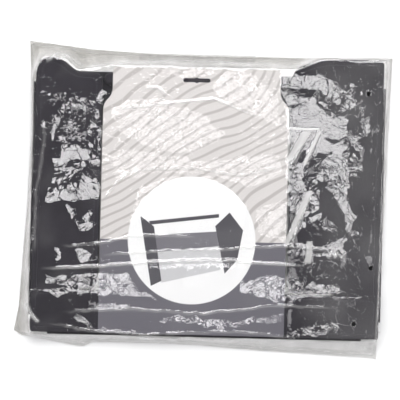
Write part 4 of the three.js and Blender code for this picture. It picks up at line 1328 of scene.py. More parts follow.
# Later patches lie over earlier ones.
GLARE = (
    # Calm edges of both wings and of the front wall
    Glare(0.12, ((-200, 160), (-115, 160), (-115, 122), (-200, 126)), Sheen.FLAT),
    Glare(0.16, ((90, 175), (205, 175), (205, 130), (160, 142), (90, 156)), Sheen.FLAT),
    Glare(0.14, ((176, 130), (205, 130), (205, -152), (176, -152)), Sheen.FLAT),
    Glare(0.3, ((-202, -128), (205, -140), (205, -160), (-202, -160)), Sheen.FLAT),
    Glare(0.3, ((-202, 130), (-186, 120), (-190, -60), (-202, -60)), Sheen.FLAT),
    # Left wing, from its top down: pale sheets, and the dark gaps in them
    Glare(0.5, ((-174, 109), (-166, 118), (-150, 122), (-134, 117), (-127, 103), (-134, 85), (-142, 71),
        (-163, 73), (-170, 84)), Sheen.FAINT),
    Glare(0.8, ((-181, 70), (-180, 81), (-176, 92), (-172, 95), (-170, 90), (-176, 80), (-178, 70))),
    Glare(1.4, ((-166, 83), (-154, 83), (-139, 78), (-140, 72), (-149, 72), (-161, 75))),
    Glare(0.9, ((-132, 97), (-126, 107), (-124, 96), (-128, 92))),
    Glare(0.9, ((-138, 80), (-136, 92), (-133, 89), (-128, 96), (-130, 85))),
    Glare(0.7, ((-129, 84), (-123, 88), (-123, 76), (-128, 77))),
    Glare(0.4, ((-170, 74), (-165, 74), (-160, 64), (-142, 63), (-135, 61), (-124, 54), (-123, 37),
        (-146, 20), (-178, 20), (-180, 25), (-169, 35), (-175, 38), (-177, 49), (-169, 51))),
    Glare(0.3, ((-137, 70), (-123, 63), (-123, 60), (-135, 65))),
    Glare(0.2, ((-138, 63), (-123, 55), (-122, 52), (-136, 58)), Sheen.FLAT),
    Glare(0.4, ((-167, 46), (-149, 50), (-142, 49), (-155, 44), (-162, 42)), Sheen.FLAT),
    Glare(0.6, ((-169, 19), (-157, 27), (-146, 36), (-133, 45), (-127, 44), (-122, 39), (-122, 31),
        (-132, 32), (-143, 31), (-148, 23), (-159, 20)), Sheen.FLAT),
    Glare(0.4, ((-166, 18), (-148, 20), (-139, 27), (-124, 30), (-124, 5), (-150, 2), (-182, -2),
        (-186, 2), (-182, 14), (-175, 17))),
    Glare(0.4, ((-176, 28), (-160, 38), (-157, 34), (-169, 23), (-179, 8), (-182, 10),
        (-172, 24)), Sheen.FLAT),
    Glare(0.4, ((-163, -3), (-152, -7), (-145, -16), (-128, -8), (-133, -20), (-124, -25), (-140, -35),
        (-144, -33), (-157, -16))),
    Glare(0.6, ((-154, -7), (-149, -13), (-140, -21), (-146, -26), (-152, -16)), Sheen.FLAT),
    Glare(0.3, ((-176, -51), (-168, -53), (-164, -62), (-171, -72), (-173, -67), (-171, -59))),
    Glare(0.3, ((-149, -47), (-144, -53), (-131, -62), (-139, -69), (-144, -69), (-150, -57))),
    # Right wing, from its top down
    Glare(0.5, ((80, 154), (91, 157), (103, 150), (123, 151), (132, 146), (142, 142), (149, 134),
        (150, 123), (146, 119), (138, 128), (124, 132), (103, 133), (89, 136), (80, 136))),
    Glare(0.5, ((80, 132), (92, 130), (103, 126), (119, 124), (130, 119), (139, 109), (149, 107),
        (160, 100), (157, 90), (152, 77), (144, 66), (125, 60), (113, 54), (110, 36), (114, 20), (91, 16),
        (89, 113))),
    Glare(0.5, ((89, 114), (94, 119), (105, 121), (103, 118), (94, 113)), Sheen.FLAT),
    Glare(0.6, ((117, 123), (124, 121), (133, 113), (142, 104), (138, 104), (126, 114)), Sheen.FLAT),
    Glare(0.4, ((129, 82), (139, 78), (147, 77), (146, 74), (137, 75)), Sheen.FLAT),
    Glare(0.2, ((90, 70), (95, 74), (102, 69), (91, 54)), Sheen.FLAT),
    Glare(0.2, ((98, 53), (106, 67), (110, 66), (112, 59), (108, 52)), Sheen.FLAT),
    Glare(0.95, ((125, 32), (128, 48), (142, 64), (152, 77), (158, 87), (162, 67), (162, 42), (161, 14),
        (163, 10), (147, 14), (140, 21))),
    Glare(0.9, ((159, 88), (171, 82), (177, 67), (176, 44), (165, 35), (161, 44)), Sheen.FAINT),
    Glare(0.7, ((113, 52), (123, 59), (139, 66), (144, 65), (140, 61), (129, 57), (129, 47), (124, 33),
        (122, 22), (115, 19), (109, 30)), Sheen.FLAT),
    Glare(1.4, ((126, 28), (138, 32), (149, 28), (148, 22), (138, 21)), Sheen.FAINT),
    Glare(0.8, ((145, 12), (156, 12), (163, 10), (165, -2), (171, -8), (164, -26), (159, -24), (156, -9),
        (150, 3))),
    Glare(0.7, ((91, 10), (104, 16), (120, 20), (124, 18), (128, 10), (127, -4), (116, -10), (104, -12),
        (92, -2))),
    Glare(0.4, ((90, 17), (98, 18), (107, 16), (91, 11)), Sheen.FLAT),
    Glare(0.3, ((120, 29), (124, 32), (128, 18), (129, 9), (124, 13))),
    Glare(0.6, ((93, -25), (107, -15), (132, -7), (131, -13), (116, -21), (105, -28), (95, -38))),
    Glare(1.2, ((118, -17), (141, -13), (150, -25), (136, -28), (114, -24)), Sheen.FAINT),
    Glare(0.7, ((91, -41), (107, -40), (128, -45), (138, -40), (159, -33), (159, -45), (162, -50),
        (160, -59), (142, -57), (121, -55), (94, -54))),
    Glare(1.3, ((152, 134), (162, 135), (168, 124), (168, 112), (155, 117)), Sheen.FAINT),
    Glare(1.3, ((175, 101), (182, 105), (185, 93), (180, 82), (174, 90)), Sheen.FAINT),
    Glare(1.4, ((163, -26), (171, -24), (179, -20), (179, -29), (167, -31)), Sheen.FAINT),
    # Insert card
    Glare(0.9, ((-113, 106), (-82, 120), (-52, 116), (-8, 104), (20, 82), (-19, 58), (-58, 61),
        (-101, 81)), Sheen.SOFT),
    Glare(0.9, ((-121, 53), (-90, 61), (-9, 51), (80, 58), (87, 40), (49, 21), (3, 36), (-57, 36),
        (-102, 26)), Sheen.SOFT),
    Glare(0.9, ((0, 136), (18, 155), (55, 149), (78, 122), (79, 92), (56, 101), (14, 120)), Sheen.SOFT),
    Glare(0.9, ((-48, 153), (-3, 157), (9, 150), (-37, 144)), Sheen.SOFT),
    Glare(0.9, ((-79, 17), (-43, 30), (3, 33), (28, 16), (45, -2), (38, -9), (-8, 0), (-65, -13),
        (-87, -25)), Sheen.SOFT),
    Glare(0.9, ((54, -7), (90, 8), (91, -38), (64, -33)), Sheen.SOFT),
    # Front wall and the card's dark band
    Glare(0.7, ((-183, -85), (-135, -82), (-123, -81), (-86, -81), (-76, -99), (-51, -108), (-97, -106),
        (-152, -105), (-171, -109), (-180, -102), (-154, -98), (-183, -93))),
    Glare(0.9, ((40, -85), (91, -78), (154, -93), (157, -97), (126, -100), (92, -109), (75, -107),
        (38, -97))),
    Glare(1.2, ((-50, -133), (-28, -126), (7, -131), (35, -133), (92, -120), (89, -129), (47, -136),
        (18, -142), (-10, -137))),
    Glare(1.2, ((76, -154), (98, -143), (132, -134), (155, -130), (150, -139), (119, -148))),
    Glare(1.2, ((-117, -142), (-96, -146), (-73, -147), (-50, -152), (-56, -155), (-87, -152),
        (-113, -154))),
    Glare(0.8, ((-133, -115), (-85, -116), (-85, -120), (-133, -119))),
    Glare(1.0, ((-159, -131), (-140, -130), (-124, -146), (-142, -137))),
    Glare(1.2, ((-64, -67), (34, -61), (62, -64), (34, -69), (-63, -74))),
)

FOLDS = (
    # Pleats over the right wing
    Fold(0.9, 0.1, 0.8, 0.0, ((89, 89), (129, 90))),
    Fold(0.9, 1.0, 0.3, 0.0, ((108, 88), (90, 56))),
    Fold(0.9, 1.0, 0.34, 0.0, ((118, 89), (93, 45))),
    Fold(1.6, 1.0, 0.34, 0.0, ((127, 89), (110, 45))),
    Fold(0.9, 1.0, 0.3, 0.0, ((113, 19), (92, -38))),
    Fold(0.9, 1.0, 0.34, 0.0, ((120, 19), (96, -46))),
    Fold(2.4, 0.8, 0.3, 0.0, ((119, -39), (119, -65))),
    Fold(0.9, 1.0, 0.4, 0.0, ((136, -53), (141, -57), (143, -50), (148, -57), (150, -50), (155, -57),
        (161, -49))),
    # Creases across the low part
    Fold(1.3, 1.4, 0.3, 0.4, ((-191, -77), (-121, -73), (-52, -66), (34, -63), (122, -68))),
    Fold(1.0, 1.0, 0.2, 0.6, ((-123, -61), (-64, -55), (9, -51), (90, -45), (159, -50))),
    Fold(1.0, 1.0, 0.14, 0.6, ((-167, -51), (-123, -48), (-87, -38), (-7, -36))),
    Fold(1.2, 1.0, 0.16, 0.6, ((-165, -126), (-85, -121), (-5, -125), (86, -113), (161, -116))),
    Fold(1.0, 1.0, 0.14, 0.6, ((-188, -138), (-130, -147), (-62, -150), (30, -144), (110, -149))),
    # Folds along both sides
    Fold(1.4, 0.7, 0.08, 0.5, ((-186, 98), (-191, 44), (-196, 12), (-196, -62))),
    Fold(1.2, 0.8, 0.2, 0.5, ((-205, 121), (-202, 47), (-205, -34), (-206, -114))),
    Fold(0.8, 0.2, 0.04, 0.5, ((188, 113), (183, 56), (190, -1), (183, -61))),
    Fold(1.0, 0.5, 0.06, 0.5, ((199, 148), (200, 68), (198, -35), (197, -138))),
    Fold(0.8, 0.25, 0.06, 0.4, ((178, -14), (160, -27), (174, -47), (188, -66))),
    Fold(1.5, 1.2, 0.4, 0.3, ((-204, -117), (-197, -131), (-188, -139))),
    # Creases over the card
    Fold(1.0, 1.0, 0.3, 0.2, ((-74, 131), (-59, 132), (-50, 123))),
    Fold(1.0, 1.0, 0.22, 0.2, ((-111, 106), (-68, 112), (5, 121), (60, 101))),
    Fold(1.0, 1.0, 0.2, 0.3, ((-91, 26), (-78, 38), (-20, 42), (37, 34), (87, 47))),
    Fold(1.0, 1.0, 0.2, 0.3, ((-118, 3), (-105, 21), (-87, 38))),
    # Creases in the upper and lower margin
    Fold(1.2, 0.8, 0.3, 0.4, ((-155, 154), (-115, 158), (-46, 165), (22, 164), (82, 161))),
    Fold(1.4, 0.8, 0.3, 0.6, ((-189, 159), (-175, 171), (-158, 164), (-144, 155))),
    Fold(1.2, 0.6, 0.22, 0.4, ((-187, -157), (-141, -160), (-84, -156), (-4, -158), (110, -163),
        (190, -166))),
)


@dataclass
class Bag(SubAssembly):
    """Clear bag: front film over the contents, back film, and the tape that closes its mouth.

    Sizes are in millimetres. The four edges are listed from left to right or from bottom to top.
    """

    bottom: tuple = (
        (-219, -149), (-210, -155), (-181, -160), (-139, -167), (-128, -161), (-60, -161), (-4, -162),
        (54, -166), (120, -169), (193, -172), (199, -173),
    )
    right: tuple = ((199, -173), (202, -90), (204.5, 0), (207, 90), (210, 174))
    top: tuple = (
        (-208, 184), (-178, 181), (-136, 176), (-70, 173), (-12, 172), (102, 172), (160, 173.5), (210, 174),
    )
    left: tuple = (
        (-219, -149), (-214, -122), (-211, -65), (-207, 0), (-204, 80), (-206, 140), (-208, 184),
    )
    contents: tuple = (
        (-202, -152, 4), (202, -152, 4), (202, 171.5, 4), (130, 171.5, 14), (96, 159, 8),
        (-112, 158.5, 6), (-151, 152.5, 4), (-166, 167, 9), (-195, 167, 9), (-202, 149, 4),
    )
    card: tuple = (
        (-121.3, -149, 3), (91.3, -149, 3), (91.3, 114, 9), (81, 124, 9), (81, 155.7, 3),
        (-111, 155.7, 3), (-111, 124, 9), (-121.3, 114, 9),
    )
    cells: tuple[int, int] = (246, 198)
    rear_cells: tuple[int, int] = (60, 48)
    thickness: float = 0.25
    flange: float = 0.9
    card_level: float = 24.75
    wing_level: float = 23.3
    band_level: float = 23.9
    vents: tuple = ((181.6, 131.4), (189.0, -67.4), (171.0, -132.0))
    vent_radius: float = 2.3
    rim_section: tuple = ((-0.2, 0.2), (0.0, 0.6), (1.6, 0.6), (1.8, 0.3), (1.6, 0.0), (0.0, 0.0))
    tape_inset: float = 3.0
    flat: Pair = (0.422, 0.344)

    def __post_init__(self) -> None:
        """Works out the closed outlines once."""
        corners = self.bottom[:-1] + self.right[:-1] + self.top[::-1][:-1] + self.left[::-1][:-1]
        self.outline = np.array(corners, float)
        self.filled = rounded(self.contents)

    def curve(self, corners: tuple, shares: Points) -> Points:
        """Places along an edge of the bag.

        Args:
            corners: Corners of the edge.
            shares: Shares of its length.

        Returns:
            One place per share.
        """
        line = np.array(corners, float)
        lengths = np.concatenate([[0], np.cumsum(lengths_of(np.diff(line, axis=0)))])
        return np.column_stack([np.interp(shares * lengths[-1], lengths, line[:, k]) for k in (0, 1)])

    def plan(self, cells: tuple[int, int]) -> Points:
        """Grid that fills the bag's outline.

        Args:
            cells: Number of cells across and up.

        Returns:
            Places of the grid, column by column.
        """
        u, v = (np.linspace(0, 1, count + 1) for count in cells)
        low, high = self.curve(self.bottom, u), self.curve(self.top, u)
        west, east = self.curve(self.left, v), self.curve(self.right, v)
        u, v = u[:, None, None], v[None, :, None]
        a = low[:, None, :] * (1 - v) + high[:, None, :] * v
        b = west[None, :, :] * (1 - u) + east[None, :, :] * u
        c = (1 - u) * (1 - v) * low[0] + u * (1 - v) * low[-1] + (1 - u) * v * high[0] + u * v * high[-1]
        return (a + b - c).reshape(-1, 2)

    def base_level(self, points: Points) -> Points:
        """Level of the smooth film over the contents and down to the flange.

        Args:
            points: Places in the plan.

        Returns:
            One level per point.
        """
        inside = edge_distance(points + 1.4 * soft_pair(points, (41, 42), 17.0), self.filled)
        edge = np.maximum(edge_distance(points, self.outline), 0.0)
        on_card = smooth(-16.0, -0.5, edge_distance(points, rounded(self.card)))
        top = self.wing_level + (self.card_level - self.wing_level) * on_card
        top = np.maximum(top, self.band_level * smooth(-92.0, -102.0, points[:, 1]))
        share = edge / np.maximum(edge + np.maximum(-inside, 0.0), TINY)
        sag = 0.9 + 0.5 * Wrinkles(43).soft(points, 26.0)
        top = top - sag * (1 - smooth(-1.0, 5.0, inside))
        return self.flange + (top - self.flange) * np.where(inside > 0, 1.0, share ** 1.7)

    def height(self, points: Points, crumple: Points) -> Points:
        """Height of the random folds over the smooth film.

        Args:
            points: Places in the plan.
            crumple: How crumpled the film is at each place.

        Returns:
            One height per point.
        """
        over = smooth(-1.0, 7.0, edge_distance(points, self.filled))
        low_part = smooth(-45.0, -75.0, points[:, 1])
        broad = Wrinkles(11).facets(points, 34.0)
        middle = Wrinkles(12).facets(points, 14.0)
        small = Wrinkles(13).facets(points, 6.5)
        streaks = Wrinkles(14).facets(points, 9.0, 5.0, 4.0)
        upper = 1.3 * broad + 0.8 * middle + 0.32 * small
        lower = 1.0 * streaks + 0.5 * middle + 0.2 * small
        height = ((1 - low_part) * upper + low_part * lower) * crumple * over
        rim = smooth(0.0, 3.0, edge_distance(points, self.outline))
        return height + (1 - over) * rim * (0.5 * middle + 0.2 * small + 0.5)

    def fields(self, points: Points) -> tuple[Points, Points, Points, Points]:
        """Folds of the film and how its sheen behaves.

        Args:
            points: Places in the plan.

        Returns:
            Extra height, lean of the sheen, crumple and cloud, each at every point.
        """
        x = points[:, 0]
        inside = edge_distance(points, self.filled)
        over = smooth(-1.0, 7.0, inside)
        crumple = np.clip(0.22 + 0.4 * Wrinkles(15).soft(points, 60.0), 0.06, 1.0)
        height = self.height(points, crumple)
        warp = 2.2 * soft_pair(points, (21, 22), 9.0) + 1.1 * soft_pair(points, (23, 24), 3.5)
        lean = np.zeros((len(points), 3))
        for patch in GLARE:
            mask = smooth(-0.8, 0.8, edge_distance(points + warp, patch.corners))
            lean[:, :2] += mask[:, None] * (np.array(patch.sheen.value) - lean[:, :2])
            crumple = crumple + mask * (patch.crumple - crumple)
        # Painted sheen: the film over the right wing is whitened, so that side shows lighter than the left.
        cloud = 0.03 * smooth(96.0, 150.0, x) * over * (1 + 0.5 * Wrinkles(16).soft(points, 24.0))
        cloud = cloud + 0.02 * over * np.maximum(Wrinkles(17).facets(points, 19.0, 1.8, 35.0), 0.0)
        for pleat in PLEATS:
            mask = smooth(-0.5, 0.5, edge_distance(points + 0.25 * warp, pleat.corners))
            cloud = np.maximum(cloud, pleat.cloud * mask)
        for fold in FOLDS:
            gap, share = line_distance(points + warp * fold.wander, fold.path)
            ridge = bell(gap, fold.width) * smooth(0.0, 0.12, share) * smooth(1.0, 0.88, share)
            height = height + fold.rise * ridge
            cloud = np.maximum(cloud, fold.cloud * ridge)
        lowest = np.where(inside > 0, -0.25, -0.1)
        height = np.where(height < lowest, lowest + 0.15 * (height - lowest), height)
        return height, lean, np.clip(crumple, 0.0, 1.4), np.maximum(cloud, 0.0)

    def veil(self, points: Points) -> Points:
        """How grey the film's tint is: grey with creased streaks in the margins, clear inside. The grey is
        partly the doubled film and partly painted shade, heavier towards the top and the left edge.

        Args:
            points: Places in the plan.

        Returns:
            One value per point.
        """
        x, y = points.T
        outside = 1.0 - smooth(-3.0, -0.5, edge_distance(points, self.filled))
        streaks = 0.75 + 0.35 * Wrinkles(18).soft(points, 11.0) + 0.2 * Wrinkles(19).soft(points, 3.5)
        # Painted shade: the margins grey more towards the top and the left edge.
        strength = 0.2 + 1.3 * smooth(-150.0, 160.0, y) + 1.1 * smooth(-196.0, -206.0, x)
        return np.clip(outside * streaks * strength, 0.0, 1.6)

    def mark(self, piece: Object, **fields: Points) -> None:
        """Stores fields on a film's corners, where its material reads them.

        Args:
            piece: The film.
            fields: Values at each corner by name.
        """
        for name, values in fields.items():
            kind, slot = ("FLOAT_VECTOR", "vector") if values.ndim == 2 else ("FLOAT", "value")
            made = piece.data.attributes.new(name, kind, "POINT")
            made.data.foreach_set(slot, values.astype(np.float32).ravel())

    def punch(self, plan: Points) -> tuple[Points, Faces]:
        """Grid drawn round the vents and opened there.

        Args:
            plan: Places of the grid.

        Returns:
            The moved places and the faces that are left.
        """
        for vent in np.array(self.vents):
            gap = lengths_of(plan - vent)
            near = (gap < self.vent_radius + 0.9) & (gap > TINY)
            reach = np.where(gap < self.vent_radius * 0.62, gap, self.vent_radius) / np.maximum(gap, TINY)
            plan = np.where(near[:, None], vent + (plan - vent) * reach[:, None], plan)
        faces = np.array(grid_faces(self.cells[0] + 1, self.cells[1] + 1))
        middles = plan[faces].mean(axis=1)
        for vent in np.array(self.vents):
            kept = lengths_of(middles - vent) >= self.vent_radius * 0.8
            faces, middles = faces[kept], middles[kept]
        return plan, faces

    def flatten(self, piece: Object, keep: float) -> None:
        """Gives a piece of the film a mesh of its own."""
        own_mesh(piece)

    def front(self) -> list[float]:
        """Front film with its folds, sheen and punched vents.

        Returns:
            Level of the film at each vent.
        """
        plan = self.plan(self.cells)
        height, lean, crumple, cloud = self.fields(plan)
        level = np.maximum(self.base_level(plan) + height, self.flange * 0.8)
        cloud = np.maximum(cloud, 0.16 * bell(edge_distance(plan, self.outline) - 3.2, 0.9))
        veil = self.veil(plan)
        plan, faces = self.punch(plan)
        used, corners = np.unique(faces, return_inverse=True)
        points = np.column_stack([plan, level])[used]
        piece = make_piece("bag_front_film", points, corners.reshape(faces.shape), self.finishes.film)
        self.mark(piece, lean=lean[used], crumple=crumple[used], cloud=cloud[used], veil=veil[used])
        thicken(piece, self.thickness, 1.0)
        place(piece, "polybag", "film", "polybag_front_film")
        self.flatten(piece, 0.001)
        return [float(level[lengths_of(plan - vent) < 4.0].max()) for vent in np.array(self.vents)]

    def rear(self) -> None:
        """Back film, flat on the surface that the pack lies on."""
        plan = self.plan(self.rear_cells)
        rim = 1 - smooth(0.0, 8.0, edge_distance(plan, self.outline))
        lift = 0.075 * (1 + Wrinkles(31).soft(plan, 14.0)) * rim
        faces = grid_faces(self.rear_cells[0] + 1, self.rear_cells[1] + 1)
        piece = make_piece("bag_back_film", np.column_stack([plan, lift]), faces, self.finishes.back_film)
        cloud = 0.03 * (1 + Wrinkles(32).soft(plan, 9.0))
        lean = np.zeros((len(plan), 3))
        self.mark(piece, lean=lean, crumple=np.full(len(plan), 0.6), cloud=cloud, veil=self.veil(plan))
        thicken(piece, self.thickness, 1.0)
        place(piece, "polybag", "film", "polybag_back_film")

    def vent_shade_rings(self, levels: list[float]) -> None:
        """Rings round the punched vents, nearly black: painted shade for their dark melted edges.

        Args:
            levels: Level of the film at each vent.
        """
        points, faces = [], []
        turns = np.linspace(0, 2 * math.pi, 25)[:-1]
        circle = self.vent_radius * np.column_stack([np.cos(turns), np.sin(turns)])
        for vent, level in zip(self.vents, levels):
            loft, quads = ring_loft(circle + np.array(vent), (level, self.rim_section), closed=True)
            faces.extend([i + len(points) for i in quad] for quad in quads)
            points.extend(loft)
        piece = make_piece("bag_vent_shade_rings", np.array(points), faces, self.finishes.vent_shade_ring)
        place(piece, "polybag", "film")
        self.flatten(piece, 0.001)

    def tape(self) -> None:
        """Clear tape across the mouth."""
        low, high = box_of("polybag_closure_tape")
        loop = rectangle(low.x, high.x, low.y, high.y - self.tape_inset, 1.5)
        panel = Panel(loop, low.z + 0.2, high.z + 0.25, edge=0.08, under_edge=0.05, wave=0.05, wave_size=9.0)
        piece = make_piece("bag_closure_tape", *panel.build(), self.finishes.clear_tape)
        place(piece, "polybag", "clear_tape", "polybag_closure_tape")
        self.flatten(piece, 0.3)

    def build(self) -> None:
        """All of the bag."""
        self.rear()
        levels = self.front()
        self.vent_shade_rings(levels)
        self.tape()


# The tray


class Side(StrEnum):
    """Side of the tray that a piece belongs to, as its names begin."""

    LEFT = "left"
    RIGHT = "right"
    FRONT = "front"


@dataclass
class NetPocket:
    """Net of crossing cords inside a flat rim, made by a node tree. Sizes in millimetres."""

    node: str
    rows: int
    columns: int = 14
    rim: float = 5.0
    corner: float = 2.0
    cord_share: float = 0.4
    foot: float = 0.08
    head: float = 0.1

    def build(self, name: str, finish: Finish) -> Object:
        """Cords from the lines of a grid, and the rim round them, as one plain mesh in place.

        Args:
            name: Name of the piece.
            finish: Material of the net.

        Returns:
            The net.
        """
        low, high = box_of(self.node)
        size = (high - low) * MM
        tree = Repeater(
            "net_cords", Width=size.x - 2 * self.rim * MM, Length=size.y - 2 * self.rim * MM,
            Cord=self.cord_share * size.z, Rows=self.rows + 1, Columns=self.columns + 1,
        )
        given = tree.given
        grid = tree.add(
            "MeshGrid", Size_X=given["Width"], Size_Y=given["Length"],
            Vertices_X=given["Rows"], Vertices_Y=given["Columns"],
        )
        curve = tree.add("MeshToCurve", Mesh=grid)
        circle = tree.add("CurvePrimitiveCircle", Resolution=6, Radius=given["Cord"])
        tube = tree.add("CurveToMesh", Curve=curve, Profile_Curve=circle)
        piece = tree.grow(name, bpy.data.meshes.new(name + "_start"), tube, finish)
        piece.data.transform(Matrix.Translation((low + high) / 2 * MM))
        outer = resample(rectangle(low.x, high.x, low.y, high.y, self.corner), 6.0)
        foot = ((0.0, 0.2), (0.3, 0.0), (self.rim, 0.0), (self.rim + 0.4, 0.25))
        head = ((self.rim, 0.0), (0.3, 0.0), (0.0, -0.2))
        loft = ring_loft(outer, (low.z + self.foot, foot), (high.z - self.head, head), closed=True)
        join(piece, make_piece(name + "_rim", *loft, finish))
        return piece


@dataclass
class Wing(SubAssembly):
    """Folded side wall of the tray: lining, board, padded cover, net pocket and its elastic.

    Sizes are in millimetres.
    """

    side: Side
    seed: int
    rows: int
    ear_line: float = 149.5
    groove_end: float = 3.0
    seam: float = 6.5
    pocket: float = 1.8
    net_cover: float = 0.75

    def pad(self) -> None:
        """Padded outer cover with a sewn edge, and its stitches."""
        wing = f"{self.side}_wing"
        low, high = box_of(f"{wing}_cover")
        ends = (low.x + self.groove_end, high.x - self.groove_end)
        panel = Panel(
            outline_of(f"{wing}_lining"), low.z, high.z, edge=1.9, spacing=3.4, crown=0.3,
            seams=(self.seam,), seam_depth=0.45, wave=0.22, seed=self.seed, pocket=self.pocket,
            pocket_inset=1.1, groove=tuple((x, self.ear_line) for x in ends),
        )
        piece = make_piece(f"{wing}_pad", *panel.build(), self.finishes.cloth)
        place(piece, wing, "fabric", f"{wing}_cover", f"{wing}_foam")
        path = panel.seam_path(self.seam, 0.1)
        row = StitchRow().sew(f"{wing}_stitches", path, self.finishes.thread)
        place(row, wing, "fabric")

    def net(self) -> None:
        """Knitted net with a bound rim, and the gathered elastic on its open side."""
        node, elastic = f"{self.side}_net_pocket", f"{self.side}_pocket_elastic"
        piece = NetPocket(node, self.rows).build(f"{self.side}_net", self.finishes.net)
        place(piece, f"{self.side}_wing", "net", node)
        low, high = box_of(elastic)
        panel = Panel(
            rectangle(low.x, high.x, low.y, high.y, 1.0), low.z, high.z - 0.05, edge=0.3, under_edge=0.3,
            spacing=1.6, wave=0.05, wave_size=3.0, seed=8,
        )
        band = make_piece(f"{self.side}_net_elastic", *panel.build(), self.finishes.elastic)
        place(band, f"{self.side}_wing", "binding", elastic)

    def build(self) -> None:
        """All of the wing."""
        wing = f"{self.side}_wing"
        self.pad()
        lining = self.finishes.lining
        FlatCloth(f"{wing}_inner_cloth", f"{wing}_lining", wing, "lining", f"{wing}_pad", lining).build()
        self.net()
        dress(self.finishes.board, f"{wing}_stiffener")


@dataclass
class FrontWall(SubAssembly):
    """Folded front wall: lining, board and padded cover under a thin cloth skin. Sizes in millimetres."""

    skin: float = 0.9
    skin_gap: float = 0.1
    pad_gap: float = 1.3
    pad_inset: float = 0.6
    seam: float = 5.5
    pocket: float = 1.8

    def build(self) -> None:
        """All of the front wall."""
        low, high = box_of("front_wall_cover")
        top = high.z - self.skin_gap
        skin = Panel(
            outline_of("front_wall_cover"), top - self.skin, top, edge=0.5, under_edge=0.3, spacing=3.6,
            wave=0.05, seams=(self.seam,), seam_depth=0.25, seed=6,
        )
        piece = make_piece("front_wall_cloth", *skin.build(), self.finishes.cloth)
        place(piece, "front_wall", "fabric", "front_wall_cover")
        core = Panel(
            inset(resample(outline_of("front_wall_lining"), 30.0), self.pad_inset), low.z,
            high.z - self.pad_gap, edge=1.4, spacing=4.5, wave=0.1, pocket=self.pocket,
        )
        pad = make_piece("front_wall_pad", *core.build(), self.finishes.cloth)
        place(pad, "front_wall", "fabric", "front_wall_foam")
        row = StitchRow().sew("front_wall_stitches", skin.seam_path(self.seam, 0.08), self.finishes.thread)
        place(row, "front_wall", "fabric")
        FlatCloth(
            "front_wall_inner_cloth", "front_wall_lining", "front_wall", "lining", "front_wall_pad",
            self.finishes.lining,
        ).build()
        dress(self.finishes.board, "front_wall_stiffener")


@dataclass
class Base(SubAssembly):
    """Flat base of the tray: covers, foam, board, bound edge and the writing pocket.

    Sections are insets and heights in millimetres.
    """

    spacing: float = 12.0
    cover_foot: tuple = ((6.0, 0.0), (1.6, 0.0), (0.5, 0.35), (0.0, 1.4))
    cover_lip: tuple = ((0.0, -0.3), (0.3, 0.0), (0.8, 0.0), (1.0, -0.3))
    cover_inside: tuple = ((1.0, 1.6), (1.6, 1.0), (6.0, 1.0))
    foam_foot: tuple = ((2.0, 0.0), (0.4, 0.1), (0.0, 0.8))
    foam_head: tuple = ((0.0, -0.8), (0.4, -0.1), (2.0, 0.0))

    def lower_cover(self) -> None:
        """Bottom cover, turned up round the board."""
        low, high = box_of("base_bottom_cover")
        loop = resample(outline_of("base_top_cover"), self.spacing)
        section = ((low.z, self.cover_foot), (high.z, self.cover_lip), (low.z, self.cover_inside))
        cover = make_piece("base_lower_cloth", *ring_loft(loop, *section), self.finishes.cloth)
        place(cover, "tray_base", "fabric", "base_bottom_cover")

    def foam(self) -> None:
        """Foam sheet over the board."""
        low, high = box_of("base_foam")
        loop = resample(outline_of("base_foam"), self.spacing)
        form = ring_loft(loop, (low.z, self.foam_foot), (high.z, self.foam_head))
        foam = make_piece("base_foam_sheet", *form, self.finishes.foam)
        place(foam, "tray_base", "foam", "base_foam")

    def build(self) -> None:
        """All of the base."""
        self.lower_cover()
        self.foam()
        FlatCloth(
            "base_upper_cloth", "base_top_cover", "tray_base", "fabric", "base_foam_sheet",
            self.finishes.cloth, under_edge=0.3, spacing=7.0, wave=0.03,
        ).build()
        dress(self.finishes.board, "base_board")
        BoundEdge(
            self.finishes, "base_edge_tape", "base_edge_stitches", "base_edge_binding",
            rests_on=("base_upper_cloth", "base_lower_cloth"), flat=(1.36, 0.0168),
            spacing=5.0, layer=0.9, seam=6.6,
            foot=((0.0, 0.3), (0.15, 0.0), (1.0, 0.0), (1.2, 0.3)),
            inner=((1.2, -0.2), (1.5, 0.0), (8.6, 0.0), (9.0, 0.3)),
            back=((8.6, -0.1), (7.0, 0.0), (1.6, 0.0), (0.5, -0.4), (0.0, -1.4)),
        ).build()
        dress(self.finishes.writing, "writing_surface")
        FlatCloth(
            "clear_pocket_sheet", "clear_pocket_film", "tray_base", "clear_sheet", "writing_surface",
            self.finishes.clear_sheet, edge=0.1, under_edge=0.05, spacing=8.0, wave=0.05, wave_size=40.0,
            gap=0.05,
        ).build()
        BoundEdge(
            self.finishes, "pocket_binding", "pocket_stitches", "pocket_frame",
            rests_on=("base_upper_cloth", "writing_surface"), flat=(1.03, 0.015),
            spacing=6.0, layer=1.0, seam=9.6,
            foot=((0.0, 0.4), (0.3, 0.0), (7.3, 0.0), (7.6, 0.3)),
            inner=((7.6, -0.2), (8.0, 0.0), (11.7, 0.0), (12.0, 0.4)),
            back=((11.7, -0.2), (10.5, 0.0), (1.2, 0.0), (0.3, -0.5)),
        ).build()


